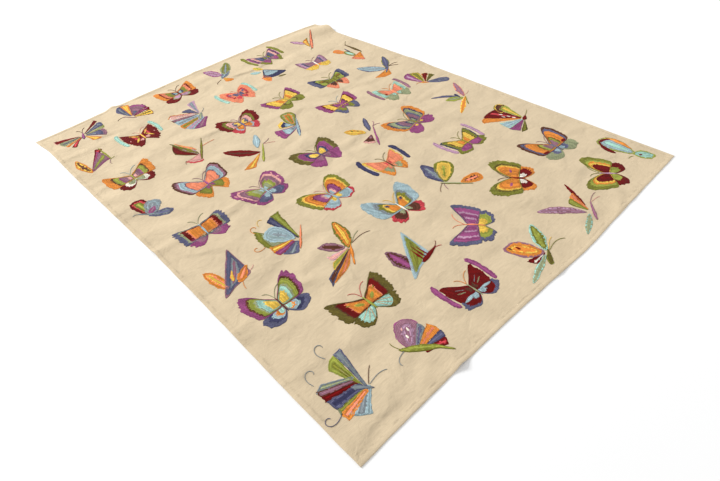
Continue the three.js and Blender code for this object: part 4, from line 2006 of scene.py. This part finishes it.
ROW_9 = (
    Fan(175, 253, (
        Stripe(42, -66, 87, 105, 212, 178, "lime 2, olive", tip=0.06),
        Stripe(44, -98, 79, 87, 256, 250, "slate, steel 2", tip=0, tooth=4, inner=0.16),
        *wedges(
            156, -46, (150, 156, 258, 286, "steel 2, sage"), (156, 161, 284, 272, "brown, mauve"),
            (161, 167, 274, 266, "dark_red"), tip=0, inner=0.48,
        ),
        Stripe(156, -46, 167, 179, 264, 246, "slate 2, navy 2", tip=0, tooth=8, inner=0.46),
        Stripe(152, -44, 179, 185, 246, 252, "sage, olive", tip=0, tooth=6, inner=0.44),
        Stripe(148, -40, 185, 195, 248, 244, "orange 2, coral", tip=0, inner=0.42),
        Stripe(112, -4, 204, 228, 206, 190, "sky 2, steel", tip=0, inner=0.36),
        Petal(4, -8, -46, 92, 26, SPEAR, "slate, steel"),
    ), (Curl(-90, 98, 104, 120, -250, Yarn.STEEL), Curl(22, 158, 116, 122, -236, Yarn.STEEL),
        Curl(-92, -66, 206, 124, -290, Yarn.SLATE),
        Curl(62, -46, 48, 84, -14, Yarn.BROWN), Curl(64, -50, 14, 96, -50, Yarn.STEEL))),
    Fan(532, 203, (
        Petal(-70, -16, 56, 158, 114, LOBE, "purple, mauve 3, lilac, mauve", tooth=4),
        Stripe(-84, -46, 28, 42, 150, 170, "steel 2, slate", tip=0.03, tooth=5, inner=0.2),
        Stripe(-84, -46, 6, 27, 166, 174, "orange 3, coral", tip=0.03, tooth=6, inner=0.26),
        Stripe(-82, -48, -6, 6, 158, 166, "navy, slate 2", tip=0.02, tooth=6, inner=0.3),
        Stripe(-78, -48, -24, -7, 138, 152, "dark_red 3, rose", tip=0.02, tooth=6, inner=0.3),
        Petal(-104, 22, -46, 226, 34, SPEAR, "olive, lime", bulge=0.04),
        Petal(-38, 34, 78, 26, 12, SPEAR, "cream"),
        Petal(-14, 56, 72, 26, 12, SPEAR, "cream"),
        Petal(-30, 78, 60, 20, 10, SPEAR, "pink"),
    ), (Curl(-92, 6, 186, 84, 110, Yarn.STEEL), Curl(-98, 18, 112, 60, -40, Yarn.OLIVE))),
    Open(
        882, 220, 260, 0, Wing(BROAD, "dark_red 5, brown", 0.84),
        Wing(WIDE, "slate 2, dark_red 3, sky 2", 0.88, 5), Yarn.SAGE, feelers=Yarn.ORANGE,
        flare=Yarn.PURPLE, spots=(Spot(0.4, 0.16, 0.4, 0.07, 36, Yarn.STEEL),
        Spot(0.44, 0.02, 0.4, 0.07, 24, Yarn.SAGE), Spot(0.4, -0.3, 0.56, 0.14, -8, Yarn.SKY)),
    ),
    Fan(1262, 177, (
        Petal(22, -58, 130, 188, 112, VANE, "mauve 2, orange 4, gold, orange 2", tooth=4),
        Petal(26, -56, 54, 188, 66, LEAF, "aqua 2, olive 2, lime", tooth=4),
        Stripe(22, -58, 168, 200, 116, 86, "dark_red 3, cream", tip=0, tooth=9),
        Petal(8, -66, 199, 206, 32, LEAF, "aqua 2, sage"),
        Petal(-34, -124, 42, 104, 32, SPEAR, "olive 2, moss"),
        Petal(-46, 26, 96, 34, 16, SPEAR, "dark_red"),
        Petal(-72, 54, 100, 26, 13, SPEAR, "brown"),
    ), (Curl(42, -64, 16, 124, -64, Yarn.OLIVE), Curl(42, -60, 34, 92, -30, Yarn.GOLD))),
    Fan(1650, 185, (
        Petal(4, -66, 132, 244, 56, LEAF, "mauve 2, lilac, mauve", bulge=-0.07, tooth=4),
        Stripe(22, -70, 62, 78, 156, 126, "orange 2, coral", tip=0),
        Stripe(22, -70, 78, 104, 122, 104, "olive 2, lime", tip=0.04),
        Petal(44, -36, 64, 190, 24, VANE, "dark_red", tooth=5),
        Petal(4, -78, 204, 158, 34, LEAF, "aqua 2, sage"),
        Petal(-14, -126, 42, 140, 17, SPEAR, "purple, mauve"),
    ), (Curl(86, -36, 22, 86, -30, Yarn.MAUVE), Curl(86, -40, 0, 70, -30, Yarn.PINK))),
    Open(
        2000, 203, 286, 38,
        Wing(ARCHED, "olive 2.4, lime, orange, gold 0.7, dark_red 5", 1, 4),
        Wing(ROUND, "dark_red 3, lime 3", 0.8), Yarn.LILAC, feelers=Yarn.OLIVE,
    ),
    Fan(2258, 235, (
        Petal(8, -66, 90, 226, 112, LOBE, "lime 2, sage, sky 2, aqua 2", tooth=4),
        Petal(34, -30, 86, 168, 40, VANE, "olive, orange 2", bulge=-0.06, tooth=4),
        Petal(-56, 22, 70, 138, 28, SPEAR, "dark_red", bulge=0.12, tooth=4),
        Petal(-14, 142, -30, 74, 26, SPEAR, "dark_red", bulge=0.16, tooth=4),
        Petal(0, -48, -60, 122, 86, VANE, "lime 2, aqua 3", tooth=4),
        Petal(8, -84, -40, 22, 17, SPEAR, "dark_red"),
    ), (Curl(-20, -66, 150, 40, 60, Yarn.OLIVE),)),
)
ROWS = (ROW_1, ROW_2, ROW_3, ROW_4, ROW_5, ROW_6, ROW_7, ROW_8, ROW_9)


# The rug as a whole


@dataclass
class Embroidery:
    """The rows of butterflies, one joined mesh for each row."""

    cloth: Cloth
    seed: int = 54

    def build(self, wools: dict[Yarn, bpy.types.Material]) -> list[bpy.types.Object]:
        """Sew every butterfly and make the rows' objects.

        Args:
            wools: the material of each yarn.

        Returns:
            The rows' objects, from the far end to the near one.
        """
        chance = random.Random(self.seed)
        made = []
        for number, row in enumerate(ROWS, 1):
            cells = [(motif.u, motif.v) for motif in row]
            mesh = EmbroideryMesh(f"embroidery_row_{number}", self.cloth, chance, cells)
            for index, motif in enumerate(row):
                self.sew(mesh, motif, index)
            made.append(mesh.build(wools))
        return made

    def sew(self, mesh: EmbroideryMesh, motif: Fan | Open, index: int) -> None:
        """Sew one butterfly at its place on the cloth.

        Args:
            mesh: the row's mesh.
            motif: the butterfly.
            index: its number in the row.
        """
        for patch in motif.patches(mesh.chance):
            patch.outline, patch.motif = self.moved(motif, patch.outline), index
            patch.spine = tuple(self.moved(motif, patch.spine))
            mesh.add_patch(patch)
        for thread in motif.threads():
            thread.path, thread.motif = self.moved(motif, thread.path), index
            mesh.add_thread(thread)

    @staticmethod
    def moved(motif: Fan | Open, points: list[Point] | tuple[Point, ...]) -> list[Point]:
        """Move points from about a butterfly's centre to its place on the cloth."""
        return [(motif.u + x, motif.v + y) for x, y in points]


@dataclass
class HemStitches:
    """The row of small running stitches that holds the turned hem, in millimetres."""

    cloth: Cloth
    inside: float = 21
    pitch: float = 9
    long: float = 4.6
    wide: float = 1.3
    high: float = 0.7
    sink: float = 0.3
    wander: float = 0.7
    shoulder: float = 0.2
    map_share: float = 0.94
    seed: int = 9

    def build(self, wool: bpy.types.Material) -> bpy.types.Object:
        """Sew the stitches along the four sides.

        Args:
            wool: the stitches' material.

        Returns:
            Their joined object.
        """
        chance = random.Random(self.seed)
        far_u, far_v = self.cloth.width - self.inside, self.cloth.length - self.inside
        corners = ((self.inside, self.inside), (far_u, self.inside), (far_u, far_v), (self.inside, far_v))
        points: list[Place] = []
        for start, end in zip(corners, corners[1:] + corners[:1]):
            run = math.dist(start, end)
            heading = ((end[0] - start[0]) / run, (end[1] - start[1]) / run)
            for index in range(round(run / self.pitch)):
                along = (index + 0.5) * self.pitch + chance.uniform(-1, 1) * self.wander
                points += self.stitch(start, heading, along, chance.uniform(-1, 1) * self.wander)
        faces: list[Face] = []
        for a in range(0, len(points), 8):
            b, c, d, e, f, g, h = range(a + 1, a + 8)
            faces += [(b, a, g), (c, b, g, h), (d, c, h), (e, d, h), (f, e, h, g), (a, f, g)]
            faces.append((a, b, c, d, e, f))
        places = [points[index] for face in faces for index in face]
        sides = (self.cloth.width * MM, self.cloth.length * MM)
        maps = {"weave": self.map_of(places, (1.0, 1.0)), "OFBake": self.map_of(places, sides)}
        made = new_object("hem_stitches", points, faces, maps)
        made.data.materials.append(wool)
        return made

    def map_of(self, places: list[Place], sides: Point) -> list[Point]:
        """Lay places in metres on a map that is as large as the sides."""
        scale = (self.map_share / sides[0], self.map_share / sides[1])
        return [(0.5 + x * scale[0], 0.5 + y * scale[1]) for x, y, _ in places]

    def stitch(self, start: Point, heading: Point, along: float, aside: float) -> list[Place]:
        """Set out one stitch: a low closed bar with pointed ends.

        Args:
            start: where its row starts.
            heading: which way the row runs, as a step of a millimetre.
            along: how far along the row its middle is.
            aside: how far to the left of the row it is.

        Returns:
            The six points of its foot and the two of its crown, in metres.
        """
        end, half = self.shoulder, self.wide / 2
        foot = ((-0.5, 0), (-end, half), (end, half), (0.5, 0), (end, -half), (-end, -half))
        shape = [(*corner, -self.sink) for corner in foot] + [(-end, 0, self.high), (end, 0, self.high)]
        points = []
        for share, side, above in shape:
            run, left = along + share * self.long, aside + side
            u = start[0] + heading[0] * run - heading[1] * left
            v = start[1] + heading[1] * run + heading[0] * left
            points.append(self.cloth.place(u, v, above))
        return points


@dataclass(frozen=True)
class Studio:
    """The pale floor, the soft lights and the photograph's viewing angle, in metres, watts and degrees."""

    floor_size: float = 60.0
    floor_shade: float = 0.9
    sky_strength: float = 0.69
    key_power: float = 1990.0
    key_size: float = 4.8
    key_place: Place = (-4.2, 11.6, 7.6)
    fill_power: float = 60.0
    fill_size: float = 2.6
    fill_place: Place = (4.4, -4.6, 2.6)
    eye: Place = (-1.68344, -2.21143, 1.8033)
    look: Place = (46.968, 3.9046, -43.8924)
    lens: float = 27.325
    sensor: float = 36.0
    sight: float = 200.0

    def build(self) -> None:
        """Make the floor, the world, the lights and the camera."""
        self.floor()
        self.sky()
        self.lamp("key", self.key_place, self.key_power, self.key_size)
        self.lamp("fill", self.fill_place, self.fill_power, self.fill_size)
        self.camera()

    def floor(self) -> None:
        """Lay a plain white floor."""
        half = self.floor_size / 2
        corners = [(-half, -half, 0), (half, -half, 0), (half, half, 0), (-half, half, 0)]
        made = bpy.data.materials.new("floor_white")
        made.use_nodes = True
        shader = made.node_tree.nodes["Principled BSDF"]
        shader.inputs["Base Color"].default_value = (self.floor_shade,) * 3 + (1.0,)
        shader.inputs["Roughness"].default_value = 1.0
        shader.inputs["Specular IOR Level"].default_value = 0.0
        floor = new_object("floor", corners, [(0, 1, 2, 3)], {})
        floor.data.materials.append(made)

    def sky(self) -> None:
        """Light everything softly from all round."""
        world = bpy.data.worlds.new("studio")
        world.use_nodes = True
        back = world.node_tree.nodes["Background"]
        back.inputs["Color"].default_value = (1.0, 1.0, 1.0, 1.0)
        back.inputs["Strength"].default_value = self.sky_strength
        bpy.context.scene.world = world

    @staticmethod
    def lamp(name: str, place: Place, power: float, size: float) -> None:
        """Hang a large soft light that faces the rug.

        Args:
            name: the light's name.
            place: where it hangs.
            power: its power.
            size: the length of its sides.
        """
        light = bpy.data.lights.new(name, "AREA")
        light.energy = power
        light.shape = "SQUARE"
        light.size = size
        made = bpy.data.objects.new(name, light)
        made.location = place
        made.rotation_euler = (-Vector(place)).to_track_quat("-Z", "Y").to_euler()
        made.visible_camera = False
        bpy.context.scene.collection.objects.link(made)

    def camera(self) -> None:
        """Stand the camera where the photograph was taken."""
        lens = bpy.data.cameras.new("camera")
        lens.lens = self.lens
        lens.sensor_width = self.sensor
        lens.sensor_fit = "HORIZONTAL"
        lens.clip_end = self.sight
        made = bpy.data.objects.new("camera", lens)
        made.location = self.eye
        made.rotation_euler = Euler([math.radians(angle) for angle in self.look], "XYZ")
        bpy.context.scene.collection.objects.link(made)
        bpy.context.scene.camera = made


def colour_management() -> None:
    """Show colours plainly, as in a catalogue photograph."""
    bpy.context.scene.view_settings.view_transform = "Standard"
    bpy.context.scene.view_settings.look = "None"


def join_to_rug(ground: bpy.types.Object, sewn: list[bpy.types.Object]) -> None:
    """Attach each piece to the rug's body, and hide the imported cloth part.

    Args:
        ground: the cloth.
        sewn: the pieces sewn on it.
    """
    for piece in [ground, *sewn]:
        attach(piece, BODY)
    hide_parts(CLOTH_NODE)


def main() -> None:
    """Build the rug and its studio."""
    colour_management()
    Studio().build()
    cloth = Cloth()
    size = (cloth.width * MM, cloth.length * MM)
    weave, chain, seam = KilimWeave().group(), ChainStitch().group(), hem_seam_group()
    ground = cloth.build()
    ground.name = "rug_ground"
    ground.data.materials.append(GroundFinish().material(weave, seam, size))
    wools = {yarn: yarn.value.material(chain) for yarn in Yarn}
    rows = Embroidery(cloth).build(wools)
    pale = GroundFinish(red=226, green=210, blue=180, seam=-1.0)
    hem = HemStitches(cloth).build(pale.material(weave, seam, size))
    for piece in (ground, *rows, hem):
        LOG.info("%s: %d faces", piece.name, len(piece.data.polygons))
    join_to_rug(ground, [*rows, hem])
    bpy.context.view_layer.update()


if __name__ == "__main__":
    main()
